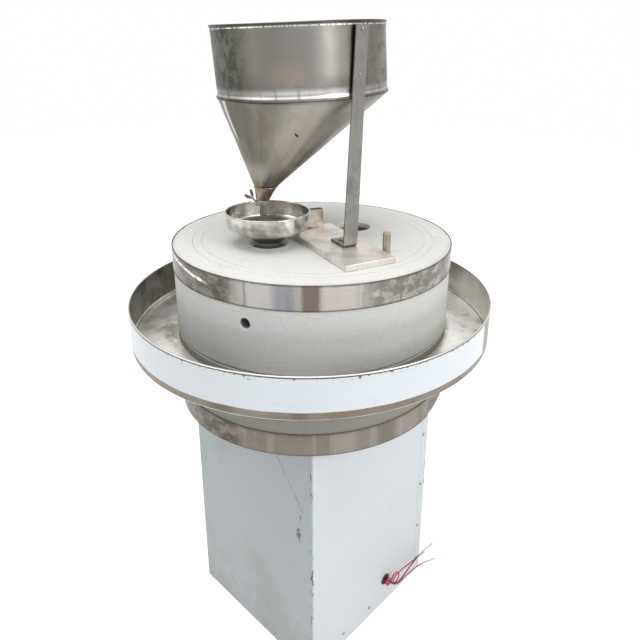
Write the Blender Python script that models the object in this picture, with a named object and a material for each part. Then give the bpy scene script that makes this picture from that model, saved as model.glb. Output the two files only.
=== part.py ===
"""Electric stone mill for grinding cocoa, standing on the floor.

A square sheet-metal base holds an upright gear motor.  A bed stone with a steel band stands on it,
inside a round collecting tray.  The runner stone turns on top: a bar on the shaft pushes the pin
that is set in the stone, and carries the feed bowl and the post of the hopper.

Metres, +Z up.  The origin is on the mill's axis at the floor.
The faces of the base look along X and Y, and the screwed rear cover is the +Y face.
"""
import math

import bmesh
import bpy
from mathutils import Matrix, Vector

# Shared clearances and facet counts
seat_gap = 0.0003
running_gap = 0.0004
cut_overrun = 0.004
large_steps = 80
drum_steps = 56
bowl_steps = 40
round_steps = 24
small_steps = 12
screw_steps = 8
hex_steps = 6
bend_steps = 3
smooth_angle_deg = 32.0

# Base: angle-iron frame, folded wrap, rear cover and top plate
base_side = 0.400
base_height = 0.600
sheet_thickness = 0.0012
fold_radius = 0.003
plate_thickness = 0.008
angle_leg = 0.040
angle_thickness = 0.004
angle_overlap = 0.002
rail_top = 0.392
rail_height = 0.030
rail_width = 0.034
cover_flange = 0.024
cover_seam = 0.0006
cover_screw_inset = 0.019
cover_screw_heights = (0.044, 0.153, 0.286, 0.436)
wrap_screw_height = 0.029
wrap_screw_places = (-0.098, -0.007)
screw_head_radius = 0.0038
screw_head_height = 0.0022
screw_dome_radius = 0.0026
screw_shank_radius = 0.0016
screw_shank_length = 0.009
plate_corner_radius = 0.004

# Motor leads at the side of the base
lead_exit_y = 0.0524
lead_exit_z = 0.0736
lead_radius = 0.0016
lead_spread = 0.0036
grommet_bore = 0.0058
grommet_hole = 0.0105
grommet_radius = 0.0140
grommet_flange = 0.0020
knot_radius = 0.0090
knot_pitch = 0.0045
knot_start_deg = 210.0
knot_end_deg = 720.0
loop_radius = 0.0130
loop_pitch = 0.0052
loop_turn_deg = 450.0
turn_step_deg = 30.0
lead_spacing = 0.0090

# Stones, their steel bands and the dressing of the grinding faces
stone_outer = 0.300
band_thickness = 0.0012
bed_top = 0.768
mill_gap = 0.002
runner_height = 0.180
band_height_top = 0.050
band_height_low = 0.048
stone_chamfer = 0.003
bed_bore_radius = 0.046
runner_bore_radius = 0.0275
eye_radius = 0.038
eye_distance = 0.112
feed_eye_deg = -102.0
open_eye_deg = 83.0
lift_hole_deg = -68.5
lift_hole_drop = 0.084
lift_hole_radius = 0.010
lift_hole_depth = 0.060
furrow_sectors = 8
furrow_count = 3
furrow_width = 0.006
furrow_depth = 0.003
furrow_first = 0.014
furrow_pitch = 0.052
furrow_start = 0.070
furrow_land = 0.012
strap_gap_from_deg = 9.0
strap_gap_to_deg = 25.0

# Collecting tray and its discharge chute
tray_radius = 0.3932
tray_sheet = 0.0015
tray_floor_drop = 0.018
tray_floor_fall = 0.0055
tray_wall_height = 0.0835
tray_collar_height = 0.015
rim_hem_radius = 0.0016
rim_hem_steps = 3
rim_hem_drop = 0.0042
film_thickness = 0.0003
film_floor_gap = 0.0150
film_rim_gap = 0.0045
film_from_deg = -225.0
film_to_deg = 16.0
film_step_deg = 4.5
chute_width = 0.060
chute_depth = 0.056
chute_inset = 0.0494
chute_sheet = 0.0015
chute_length = 0.0695

# Shaft line and its bearings
shaft_radius = 0.020
shaft_foot = 0.505
housing_radius = 0.0455
housing_bore = 0.034
housing_top_drop = 0.010
housing_flange_radius = 0.080
housing_flange_thickness = 0.012
bearing_width = 0.018
upper_bearing_drop = 0.030
seal_thickness = 0.006
housing_bolt_circle = 0.062
flange_bolt_count = 3
bolt_hole_radius = 0.0045
bolt_radius = 0.004
bolt_head_radius = 0.0075
bolt_head_height = 0.0055
bush_length = 0.120

# Gear motor
output_shaft_foot = 0.418
coupling_foot = 0.456
coupling_height = 0.090
coupling_radius = 0.034
coupling_groove = 0.003
coupling_groove_width = 0.006
reducer_radius = 0.082
reducer_neck_radius = 0.046
reducer_neck_height = 0.016
reducer_flange_radius = 0.100
reducer_flange_thickness = 0.014
reducer_foot = 0.285
reducer_bolt_circle = 0.091
mount_plate_thickness = 0.008
mount_plate_width = 0.230
mount_plate_inset = 0.006
motor_radius = 0.066
motor_fin_height = 0.009
motor_fin_count = 20
motor_fin_share = 0.34
motor_height = 0.150
motor_shield_height = 0.020
motor_shield_lip = 0.0015
fan_cover_height = 0.060
fan_cover_sheet = 0.0015
fan_vent_count = 8
fan_vent_from = 0.026
fan_vent_to = 0.060
fan_vent_width = 0.008
fan_hub_radius = 0.014
fan_blade_reach = 0.058
fan_blade_count = 6
fan_blade_thickness = 0.003
fan_blade_height = 0.026
fan_clearance = 0.010
motor_stub_radius = 0.008
terminal_box_size = 0.070
terminal_box_depth = 0.040

# Driver bar on the shaft, with the pin that it pushes
bar_angle_deg = -16.93
bar_inner = -0.030
bar_outer = 0.236
bar_width = 0.110
bar_thickness = 0.012
bar_edge_radius = 0.001
pin_x = 0.175
pin_y = 0.073
pin_radius = 0.008
pin_height = 0.043
pin_chamfer = 0.002
pin_depth = 0.040

# Hopper post with its bent foot
post_width = 0.031
post_thickness = 0.004
post_face_x = 0.143
post_side_y = -0.008
post_foot_length = 0.055
post_height = 0.4197
post_lean_deg = 2.3
post_twist_deg = 13.5
post_twist_from = 0.030
post_twist_to = 0.280
post_rows = 8
post_bend_radius = 0.005
foot_bolt_x = 0.105
foot_bolt_length = 0.012
foot_bolt_head = 0.0055
foot_bolt_head_height = 0.0025
post_screw_drops = (0.0077, 0.0874)
post_screw_length = 0.0120

# Hopper: leaning drum, slanting cone and spout
hopper_lean_deg = 4.25
drum_radius = 0.1745
drum_y = -0.018
drum_rim_rise = 0.005
drum_height = 0.1366
drum_sheet = 0.0012
rim_bead_radius = 0.0022
rim_bead_steps = 4
drum_lip = 0.0026
drum_lip_height = 0.0020
drum_swage_height = 0.010
drum_swage = 0.0016
cone_sheet = 0.0012
cone_foot_radius = 0.0229
cone_foot_rise = 0.1067
cone_foot_x = 0.0026
cone_foot_y = -0.1129
spout_x = 0.0041
spout_y = -0.1205
spout_neck_radius = 0.0135
spout_length = 0.0265
collar_radius = 0.0138
collar_height = 0.0110
feed_tube_radius = 0.0066
feed_tube_sheet = 0.0012
feed_tube_reach = 0.0325
feed_tube_rise = 0.012
thumb_screw_deg = -120.0
thumb_screw_rise_deg = 50.0
thumb_screw_drop = 0.0055
thumb_wing_turn_deg = 62.0
thumb_shank_radius = 0.0020
thumb_shank_length = 0.017
thumb_shank_inset = 0.0055
thumb_hole_depth = 0.0080
thumb_wing_length = 0.016
thumb_wing_width = 0.026
thumb_wing_thickness = 0.0028
thumb_wing_tip_share = 0.8
thumb_hub_radius = 0.0042
thumb_hub_length = 0.006

# Feed bowl and the bracket that holds it on the bar
bowl_x = 0.0083
bowl_y = -0.112
bowl_rim_radius = 0.0872
bowl_rim_rise = 0.0582
bowl_wall_radius = 0.0841
bowl_wall_foot_radius = 0.0828
bowl_wall_drop = 0.0305
bowl_turn_radius = 0.0745
bowl_turn_drop = 0.0390
bowl_outlet_radius = 0.030
bowl_outlet_drop = 0.0630
bowl_outlet_length = 0.0055
bowl_sheet = 0.0012
bowl_bead_radius = 0.0019
bracket_front_x = -0.0125
bracket_back_x = -0.0300
bracket_side_y = 0.0280
bracket_sheet = 0.0020
bracket_height = 0.040
bracket_back_side_y = 0.0120

# Derived places, each tied to the piece that carries it
stone_radius = stone_outer - band_thickness - seat_gap
runner_foot = bed_top + mill_gap
runner_top = runner_foot + runner_height
plate_foot = base_height - plate_thickness
panel_top = plate_foot - seat_gap
frame_half = base_side / 2 - sheet_thickness - seat_gap
bed_foot = base_height + seat_gap
bar_foot = runner_top + seat_gap
bar_top = bar_foot + bar_thickness
lift_hole_height = runner_top - lift_hole_drop
tray_floor_inner = bed_top - tray_floor_drop
tray_floor_outer = tray_floor_inner - tray_floor_fall
tray_rim_height = tray_floor_outer + tray_wall_height
film_bottom = tray_floor_outer + film_floor_gap
film_top = tray_rim_height - film_rim_gap
chute_centre = tray_radius - chute_inset
chute_foot = tray_floor_outer - chute_length
housing_top = bed_top - housing_top_drop
upper_bearing_foot = housing_top - upper_bearing_drop
post_top = bar_top + post_height
drum_rim_height = post_top + drum_rim_rise
cone_foot_height = bar_top + cone_foot_rise
spout_neck_height = cone_foot_height - spout_length
feed_tube_foot = spout_neck_height - feed_tube_reach
thumb_screw_height = spout_neck_height - thumb_screw_drop
bowl_rim_height = bar_top + bowl_rim_rise
bowl_wall_foot = bowl_rim_height - bowl_wall_drop
bowl_turn_height = bowl_rim_height - bowl_turn_drop
bowl_outlet_height = bowl_rim_height - bowl_outlet_drop
bowl_outlet_foot = bowl_outlet_height - bowl_outlet_length
drum_x = post_face_x - post_thickness - seat_gap - drum_radius
reducer_flange_foot = rail_top + mount_plate_thickness + 2 * seat_gap
motor_top = reducer_foot - seat_gap
motor_foot = motor_top - motor_height


def material(name, colour, roughness, metallic):
    """Principled material with the piece's colour, roughness and metallic value."""
    made = bpy.data.materials.new(name)
    made.use_nodes = True
    shader = made.node_tree.nodes["Principled BSDF"]
    shader.inputs["Base Color"].default_value = (*colour, 1.0)
    shader.inputs["Roughness"].default_value = roughness
    shader.inputs["Metallic"].default_value = metallic
    made.diffuse_color = (*colour, 1.0)
    return made


def shade(piece):
    """Smooth the round faces and keep the real edges sharp."""
    piece.data.shade_smooth()
    piece.data.set_sharp_from_angle(angle=math.radians(smooth_angle_deg))


def add_piece(name, bm, finish=None):
    """Turn a bmesh into an object at the origin, with its faces outward."""
    bmesh.ops.recalc_face_normals(bm, faces=bm.faces)
    if bm.calc_volume(signed=True) < 0:
        bmesh.ops.reverse_faces(bm, faces=bm.faces)
    mesh = bpy.data.meshes.new(name)
    bm.to_mesh(mesh)
    bm.free()
    piece = bpy.data.objects.new(name, mesh)
    bpy.context.scene.collection.objects.link(piece)
    if finish:
        mesh.materials.append(finish)
    shade(piece)
    return piece


def combine(target, others, operation):
    """Union with, or cut by, the other objects, which are used up."""
    finishes = list(target.data.materials)
    for other in others:
        step = target.modifiers.new("combine", "BOOLEAN")
        step.operation = operation
        step.solver = "EXACT"
        step.object = other
        bpy.context.view_layer.update()
        evaluated = target.evaluated_get(bpy.context.evaluated_depsgraph_get())
        mesh = bpy.data.meshes.new_from_object(evaluated)
        target.modifiers.clear()
        target.data = mesh
        bpy.data.objects.remove(other)
    target.data.materials.clear()
    for finish in finishes:
        target.data.materials.append(finish)
    shade(target)
    return target


def fuse(target, *others):
    """Join pieces that are one solid on the real mill."""
    return combine(target, others, "UNION")


def cut(target, *others):
    """Cut holes and recesses."""
    return combine(target, others, "DIFFERENCE")


def box_mesh(low, high):
    """Box between two corners."""
    bm = bmesh.new()
    low = Vector(low)
    high = Vector(high)
    size = high - low
    place = Matrix.Translation((low + high) / 2) @ Matrix.Diagonal((*size, 1.0))
    bmesh.ops.create_cube(bm, size=1.0, matrix=place)
    return bm


def prism_mesh(outline, foot, top):
    """Outline in plan, extruded upward."""
    bm = bmesh.new()
    face = bm.faces.new([bm.verts.new((x, y, foot)) for x, y in outline])
    raised = bmesh.ops.extrude_face_region(bm, geom=[face])["geom"]
    corners = [item for item in raised if isinstance(item, bmesh.types.BMVert)]
    bmesh.ops.translate(bm, vec=(0, 0, top - foot), verts=corners)
    return bm


def turned_mesh(profile, steps, closed=True):
    """Spin a profile of (radius, height) points about Z; closed profiles make rings."""
    bm = bmesh.new()
    points = [bm.verts.new((radius, 0, height)) for radius, height in profile]
    edges = [bm.edges.new(pair) for pair in zip(points, points[1:])]
    if closed:
        edges.append(bm.edges.new((points[-1], points[0])))
    bmesh.ops.spin(bm, geom=points + edges, cent=(0, 0, 0), axis=(0, 0, 1), angle=2 * math.pi,
                   steps=steps, use_merge=False, use_duplicate=False)
    bmesh.ops.remove_doubles(bm, verts=bm.verts, dist=seat_gap / 10)
    return bm


def open_ring_mesh(profile, start_deg, end_deg, step_deg):
    """Ring of a closed profile that stops short of a full turn, with flat ends."""
    bm = bmesh.new()
    turn = math.radians(end_deg - start_deg)
    face = bm.faces.new([bm.verts.new((radius, 0, height)) for radius, height in profile])
    steps = max(1, round(math.degrees(turn) / step_deg))
    bmesh.ops.spin(bm, geom=[face], cent=(0, 0, 0), axis=(0, 0, 1), angle=turn,
                   steps=steps, use_merge=False, use_duplicate=False)
    bmesh.ops.contextual_create(bm, geom=[edge for edge in bm.edges if edge.is_boundary])
    bmesh.ops.rotate(bm, verts=bm.verts, cent=(0, 0, 0),
                     matrix=Matrix.Rotation(math.radians(start_deg), 3, "Z"))
    return bm


def cylinder_mesh(radius, foot, top, steps, centre=(0, 0), bm=None):
    """Upright cylinder with flat caps."""
    bm = bm or bmesh.new()
    place = Matrix.Translation((centre[0], centre[1], (foot + top) / 2))
    bmesh.ops.create_cone(bm, cap_ends=True, segments=steps, radius1=radius, radius2=radius,
                          depth=top - foot, matrix=place)
    return bm


def lofted_mesh(rings):
    """Skin between rings of points; the first and last ring meet, as for a sheet with two sides."""
    bm = bmesh.new()
    loops = [[bm.verts.new(point) for point in ring] for ring in rings]
    for lower, upper in zip(loops, loops[1:] + loops[:1]):
        for index in range(len(lower)):
            bm.faces.new((lower[index - 1], lower[index], upper[index], upper[index - 1]))
    return bm


def ring_points(centre, radius, steps, lean_deg=0.0):
    """Circle of points about a centre, whose axis leans from +Z towards -Y."""
    lean = Matrix.Rotation(math.radians(lean_deg), 3, "X")
    angles = [2 * math.pi * index / steps for index in range(steps)]
    flat = [Vector((radius * math.cos(angle), radius * math.sin(angle), 0)) for angle in angles]
    return [Vector(centre) + lean @ point for point in flat]


def arc_points(centre, radius, from_deg, to_deg, steps):
    """Points of an arc, both ends included."""
    angles = [math.radians(from_deg + (to_deg - from_deg) * index / steps) for index in range(steps + 1)]
    return [(centre[0] + radius * math.cos(a), centre[1] + radius * math.sin(a)) for a in angles]


def polar(distance, degrees):
    """Plan position at a distance and angle from the mill's axis."""
    angle = math.radians(degrees)
    return distance * math.cos(angle), distance * math.sin(angle)


def empty(name, place=(0, 0, 0), turn=(0, 0, 0), parent=None):
    """Empty that marks an axis and carries what turns or slides on it."""
    made = bpy.data.objects.new(name, None)
    bpy.context.scene.collection.objects.link(made)
    made.location = place
    made.rotation_euler = turn
    made.parent = parent
    return made


def bolt_spots(circle):
    """Plan positions of the bolts on a flange's bolt circle."""
    return [polar(circle, 90 + 360 * index / flange_bolt_count) for index in range(flange_bolt_count)]


def bolt_hole_cutter(circle, foot, top):
    """Upright bolt holes on a bolt circle."""
    bm = bmesh.new()
    for spot in bolt_spots(circle):
        cylinder_mesh(bolt_hole_radius, foot - cut_overrun, top + cut_overrun, screw_steps, spot, bm)
    return add_piece("bolt_holes", bm)


def rounded_square(half, radius):
    """Plan outline of a square with rounded corners."""
    corner = half - radius
    outline = []
    for x, y, start in ((1, 1, 0), (-1, 1, 90), (-1, -1, 180), (1, -1, 270)):
        outline += arc_points((x * corner, y * corner), radius, start, start + 90, bend_steps)
    return outline


def folded_outline(front, rear, mirror_y):
    """Plan outline of a sheet folded round three sides of the base."""
    half = base_side / 2
    inner = half - sheet_thickness
    bend = fold_radius - sheet_thickness
    outer_x = half - fold_radius
    outer_y = front + fold_radius
    outline = [(half, rear)]
    outline += arc_points((outer_x, outer_y), fold_radius, 0, -90, bend_steps)
    outline += arc_points((-outer_x, outer_y), fold_radius, -90, -180, bend_steps)
    outline += [(-half, rear), (-inner, rear)]
    outline += arc_points((-outer_x, outer_y), bend, -180, -90, bend_steps)
    outline += arc_points((outer_x, outer_y), bend, -90, 0, bend_steps)
    outline += [(inner, rear)]
    return [(x, -y) for x, y in outline] if mirror_y else outline


def screw_profile(head_radius, dome_radius, head_height, shank_radius, shank_length):
    """Half profile of a screw whose head seats at height zero."""
    return [(0, -shank_length), (shank_radius, -shank_length), (shank_radius, 0), (head_radius, 0),
            (dome_radius, head_height), (0, head_height)]


def placed_screws(name, profile, places, steps, finish, parent=None):
    """Equal screws that share a mesh, each its own numbered object placed by a matrix."""
    first = add_piece(name + "_1", turned_mesh(profile, steps, closed=False), finish)
    for index, place in enumerate(places):
        screw = first
        if index:
            screw = bpy.data.objects.new(f"{name}_{index + 1}", first.data)
            bpy.context.scene.collection.objects.link(screw)
        screw.parent = parent
        screw.matrix_local = place


def side_places(sign, spots):
    """Matrices of screws that enter a side panel along X."""
    turn = Matrix.Rotation(sign * math.pi / 2, 4, "Y")
    lift = base_side / 2 + seat_gap
    return [Matrix.Translation((sign * lift, y, z)) @ turn for y, z in spots]


def panel_screw_spots():
    """Places of the panel screws on a side of the base: rear cover first, then the wrap."""
    cover_y = base_side / 2 - cover_screw_inset
    cover = [(cover_y, height) for height in cover_screw_heights]
    wrap = [(place, wrap_screw_height) for place in wrap_screw_places]
    return cover, wrap


def screw_hole_cutter(spots):
    """Holes for the panel screws, through both sides of the base."""
    bm = bmesh.new()
    radius = screw_shank_radius + running_gap
    half = base_side / 2 + cut_overrun
    for y, z in spots:
        place = Matrix.Translation((0, y, z)) @ Matrix.Rotation(math.pi / 2, 4, "Y")
        bmesh.ops.create_cone(bm, cap_ends=True, segments=screw_steps, radius1=radius, radius2=radius,
                              depth=2 * half, matrix=place)
    return add_piece("screw_holes", bm)


def build_base_frame(finish):
    """Angle-iron frame: four posts, top and bottom rings and two rails for the gear motor."""
    window = frame_half - angle_leg
    bore = frame_half - angle_thickness
    reach = frame_half + cut_overrun
    corner_radius = fold_radius - sheet_thickness - seat_gap
    outline = rounded_square(frame_half, corner_radius)
    frame = add_piece("base_frame", prism_mesh(outline, 0, panel_top), finish)
    hollow = add_piece("hollow", box_mesh((-bore, -bore, -cut_overrun),
                                          (bore, bore, panel_top + cut_overrun)))
    windows = [add_piece("window", box_mesh(low, high)) for low, high in (
        ((-reach, -window, angle_leg), (reach, window, panel_top - angle_leg)),
        ((-window, -reach, angle_leg), (window, reach, panel_top - angle_leg)))]
    cut(frame, hollow, *windows)
    edge = bore + angle_overlap
    for foot in (0, panel_top - angle_thickness):
        ring = add_piece("ring", box_mesh((-edge, -edge, foot), (edge, edge, foot + angle_thickness)))
        cut(ring, add_piece("middle", box_mesh((-window, -window, foot - cut_overrun),
                                               (window, window, foot + angle_thickness + cut_overrun))))
        fuse(frame, ring)
    for side in (-1, 1):
        outer = side * edge
        inner = side * (edge - rail_width)
        fuse(frame, add_piece("rail", box_mesh((-edge, min(outer, inner), rail_top - rail_height),
                                               (edge, max(outer, inner), rail_top))))
    cover_spots, wrap_spots = panel_screw_spots()
    return cut(frame, screw_hole_cutter(cover_spots + wrap_spots))


def build_panels(sheet_finish, screw_finish):
    """Folded wrap, rear cover and the screws that hold them on the frame."""
    half = base_side / 2
    seam = half - cover_flange
    cover_spots, wrap_spots = panel_screw_spots()
    wrap_outline = folded_outline(-half, seam - cover_seam, False)
    wrap = add_piece("base_wrap", prism_mesh(wrap_outline, 0, panel_top), sheet_finish)
    grommet_place = (Matrix.Translation((half, lead_exit_y, lead_exit_z))
                     @ Matrix.Rotation(math.pi / 2, 4, "Y"))
    hole = bmesh.new()
    bmesh.ops.create_cone(hole, cap_ends=True, segments=small_steps, radius1=grommet_hole,
                          radius2=grommet_hole, depth=2 * cut_overrun, matrix=grommet_place)
    cut(wrap, add_piece("hole", hole), screw_hole_cutter(wrap_spots))
    cover_outline = folded_outline(-half, -seam, True)
    cover = add_piece("rear_cover", prism_mesh(cover_outline, 0, panel_top), sheet_finish)
    cut(cover, screw_hole_cutter(cover_spots))
    profile = screw_profile(screw_head_radius, screw_dome_radius, screw_head_height,
                            screw_shank_radius, screw_shank_length)
    placed_screws("cover_screw", profile, side_places(1, cover_spots) + side_places(-1, cover_spots),
                  screw_steps, screw_finish)
    placed_screws("wrap_screw", profile, side_places(1, wrap_spots), screw_steps, screw_finish)
    return wrap


def build_top_plate(finish):
    """Plate that closes the frame and carries the bed stone and the bearing housing."""
    outline = rounded_square(base_side / 2, plate_corner_radius)
    plate = add_piece("top_plate", prism_mesh(outline, plate_foot, base_height), finish)
    centre = cylinder_mesh(housing_radius + seat_gap, plate_foot - cut_overrun, base_height + cut_overrun,
                           round_steps)
    return cut(plate, add_piece("bore", centre),
               bolt_hole_cutter(housing_bolt_circle, plate_foot, base_height))


def build_bearings(housing_finish, steel_finish, seal_finish):
    """Flanged housing in the bed stone's bore, with its bearings, seal and bolts."""
    flange_top = plate_foot - seat_gap
    flange_foot = flange_top - housing_flange_thickness
    profile = [(housing_bore, flange_foot), (housing_flange_radius, flange_foot),
               (housing_flange_radius, flange_top), (housing_radius, flange_top),
               (housing_radius, housing_top), (housing_bore, housing_top)]
    housing = add_piece("bearing_housing", turned_mesh(profile, round_steps), housing_finish)
    cut(housing, bolt_hole_cutter(housing_bolt_circle, flange_foot, flange_top))
    inner = shaft_radius + running_gap
    outer = housing_bore - seat_gap
    for name, foot in (("upper_bearing", upper_bearing_foot), ("lower_bearing", base_height)):
        ring = [(inner, foot), (outer, foot), (outer, foot + bearing_width),
                (inner, foot + bearing_width)]
        add_piece(name, turned_mesh(ring, round_steps), steel_finish)
    seal_foot = housing_top + seat_gap
    seal_top = seal_foot + seal_thickness
    seal = [(inner, seal_foot), (housing_radius, seal_foot), (housing_radius, seal_top), (inner, seal_top)]
    add_piece("shaft_seal", turned_mesh(seal, round_steps), seal_finish)
    bolt_length = housing_flange_thickness + plate_thickness
    bolt = screw_profile(bolt_head_radius, bolt_head_radius, bolt_head_height, bolt_radius, bolt_length)
    flip = Matrix.Rotation(math.pi, 4, "X")
    places = [Matrix.Translation((x, y, flange_foot - seat_gap)) @ flip
              for x, y in bolt_spots(housing_bolt_circle)]
    placed_screws("housing_bolt", bolt, places, hex_steps, steel_finish)


def furrow_cutter(face_height, turn_sign):
    """Straight furrows in harps, as a stone dresser cuts them, open at the rim."""
    bm = bmesh.new()
    reach = stone_outer + cut_overrun
    sector = 2 * math.pi / furrow_sectors
    for harp in range(furrow_sectors):
        turn = Matrix.Rotation(harp * sector, 4, "Z")
        for index in range(furrow_count):
            offset = furrow_first + index * furrow_pitch
            start = max(furrow_start, offset / math.tan(sector) + furrow_land)
            low = Vector((start, turn_sign * offset - furrow_width / 2, face_height - furrow_depth))
            high = Vector((reach, turn_sign * offset + furrow_width / 2, face_height + furrow_depth))
            size = high - low
            place = turn @ Matrix.Translation((low + high) / 2) @ Matrix.Diagonal((*size, 1.0))
            bmesh.ops.create_cube(bm, size=1.0, matrix=place)
    return add_piece("furrows", bm)


def stone_profile(bore, foot, top):
    """Section of a stone: bored ring with its outer edges taken off."""
    return [(bore, foot), (stone_radius - stone_chamfer, foot), (stone_radius, foot + stone_chamfer),
            (stone_radius, top - stone_chamfer), (stone_radius - stone_chamfer, top), (bore, top)]


def build_bed_stone(stone_finish, steel_finish):
    """Fixed lower stone with dressed top face and its steel strap, whose ends leave a gap."""
    section = stone_profile(bed_bore_radius, bed_foot, bed_top)
    stone = add_piece("bed_stone", turned_mesh(section, large_steps), stone_finish)
    cut(stone, furrow_cutter(bed_top, 1))
    inner = stone_outer - band_thickness
    top = bed_foot + band_height_low
    strap = [(inner, bed_foot), (stone_outer, bed_foot), (stone_outer, top), (inner, top)]
    ring = open_ring_mesh(strap, strap_gap_to_deg, strap_gap_from_deg + 360, 360 / large_steps)
    add_piece("bed_band", ring, steel_finish)
    return stone


def build_runner(stone_finish, steel_finish, bush_finish):
    """Turning upper stone with its band, eyes, lifting hole, bush and drive pin."""
    section = stone_profile(runner_bore_radius, runner_foot, runner_top)
    stone = add_piece("runner_stone", turned_mesh(section, large_steps), stone_finish)
    eyes = bmesh.new()
    for degrees in (feed_eye_deg, open_eye_deg):
        cylinder_mesh(eye_radius, runner_foot - cut_overrun, runner_top + cut_overrun, round_steps,
                      polar(eye_distance, degrees), eyes)
    hole = bmesh.new()
    middle = stone_outer + cut_overrun - (lift_hole_depth + cut_overrun) / 2
    place = (Matrix.Rotation(math.radians(lift_hole_deg), 4, "Z")
             @ Matrix.Translation((middle, 0, lift_hole_height)) @ Matrix.Rotation(math.pi / 2, 4, "Y"))
    bmesh.ops.create_cone(hole, cap_ends=True, segments=small_steps, radius1=lift_hole_radius,
                          radius2=lift_hole_radius, depth=lift_hole_depth + cut_overrun, matrix=place)
    pin_place = Matrix.Rotation(math.radians(bar_angle_deg), 4, "Z") @ Vector((pin_x, pin_y, 0))
    socket = cylinder_mesh(pin_radius + seat_gap, runner_top - pin_depth - seat_gap,
                           runner_top + cut_overrun, small_steps, pin_place)
    cut(stone, add_piece("eyes", eyes), add_piece("lift_hole", hole), add_piece("socket", socket),
        furrow_cutter(runner_foot, -1))
    inner = stone_outer - band_thickness
    foot = runner_top - band_height_top
    band = [(inner, foot), (stone_outer, foot), (stone_outer, runner_top), (inner, runner_top)]
    add_piece("runner_band", turned_mesh(band, large_steps), steel_finish)
    bush_middle = (runner_foot + runner_top) / 2
    low = bush_middle - bush_length / 2
    high = bush_middle + bush_length / 2
    bush = [(shaft_radius + running_gap, low), (runner_bore_radius - seat_gap, low),
            (runner_bore_radius - seat_gap, high), (shaft_radius + running_gap, high)]
    add_piece("runner_bush", turned_mesh(bush, round_steps), bush_finish)
    pin_foot = runner_top - pin_depth
    pin_top = runner_top + pin_height
    pin = [(0, pin_foot), (pin_radius, pin_foot), (pin_radius, pin_top - pin_chamfer),
           (pin_radius - pin_chamfer, pin_top), (0, pin_top)]
    bm = turned_mesh(pin, small_steps, closed=False)
    bmesh.ops.translate(bm, vec=(pin_place.x, pin_place.y, 0), verts=bm.verts)
    add_piece("drive_pin", bm, steel_finish)
    return stone


def floor_height(radius):
    """Upper side of the tray floor, which falls gently towards the wall."""
    inner = stone_radius + seat_gap
    share = (radius - inner) / (tray_radius - inner)
    return tray_floor_inner + (tray_floor_outer - tray_floor_inner) * share


def build_tray(tray_finish, film_finish):
    """Round tray about the bed stone with hemmed rim, its protective film and the discharge chute."""
    collar = stone_radius + seat_gap
    inside = tray_radius - tray_sheet
    hem = (tray_radius - rim_hem_radius / 2, tray_rim_height - rim_hem_radius)
    hem_foot = tray_rim_height - rim_hem_drop
    collar_foot = tray_floor_inner - tray_collar_height
    profile = [(collar, collar_foot), (collar + tray_sheet, collar_foot),
               (collar + tray_sheet, tray_floor_inner - tray_sheet),
               (tray_radius, floor_height(tray_radius) - tray_sheet), (tray_radius, hem_foot)]
    profile += arc_points(hem, rim_hem_radius, -10, 190, rim_hem_steps)
    profile += [(inside, hem_foot), (inside, floor_height(inside)), (collar, tray_floor_inner)]
    tray = add_piece("collecting_tray", turned_mesh(profile, large_steps), tray_finish)
    half_width = chute_width / 2
    half_depth = chute_depth / 2
    reach = Vector((half_width, half_depth, 0))
    centre = Vector((0, chute_centre, 0))
    slot_low = centre - reach - Vector((seat_gap, seat_gap, -chute_foot))
    slot_high = centre + reach + Vector((seat_gap, seat_gap, hem_foot))
    cut(tray, add_piece("slot", box_mesh(slot_low, slot_high)))
    rings = []
    for sheet, at_top in ((0, False), (0, True), (chute_sheet, True), (chute_sheet, False)):
        corners = ((1, 1), (-1, 1), (-1, -1), (1, -1))
        ring = []
        for x, y in corners:
            place_x = x * (half_width - sheet)
            place_y = chute_centre + y * (half_depth - sheet)
            level = floor_height(math.hypot(place_x, place_y)) if at_top else chute_foot
            ring.append((place_x, place_y, level))
        rings.append(ring)
    add_piece("discharge_chute", lofted_mesh(rings), tray_finish)
    low = tray_radius + seat_gap
    high = low + film_thickness
    film = [(low, film_bottom), (high, film_bottom), (high, film_top), (low, film_top)]
    strip = open_ring_mesh(film, film_from_deg, film_to_deg, film_step_deg)
    add_piece("tray_film", strip, film_finish)
    return tray


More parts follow.
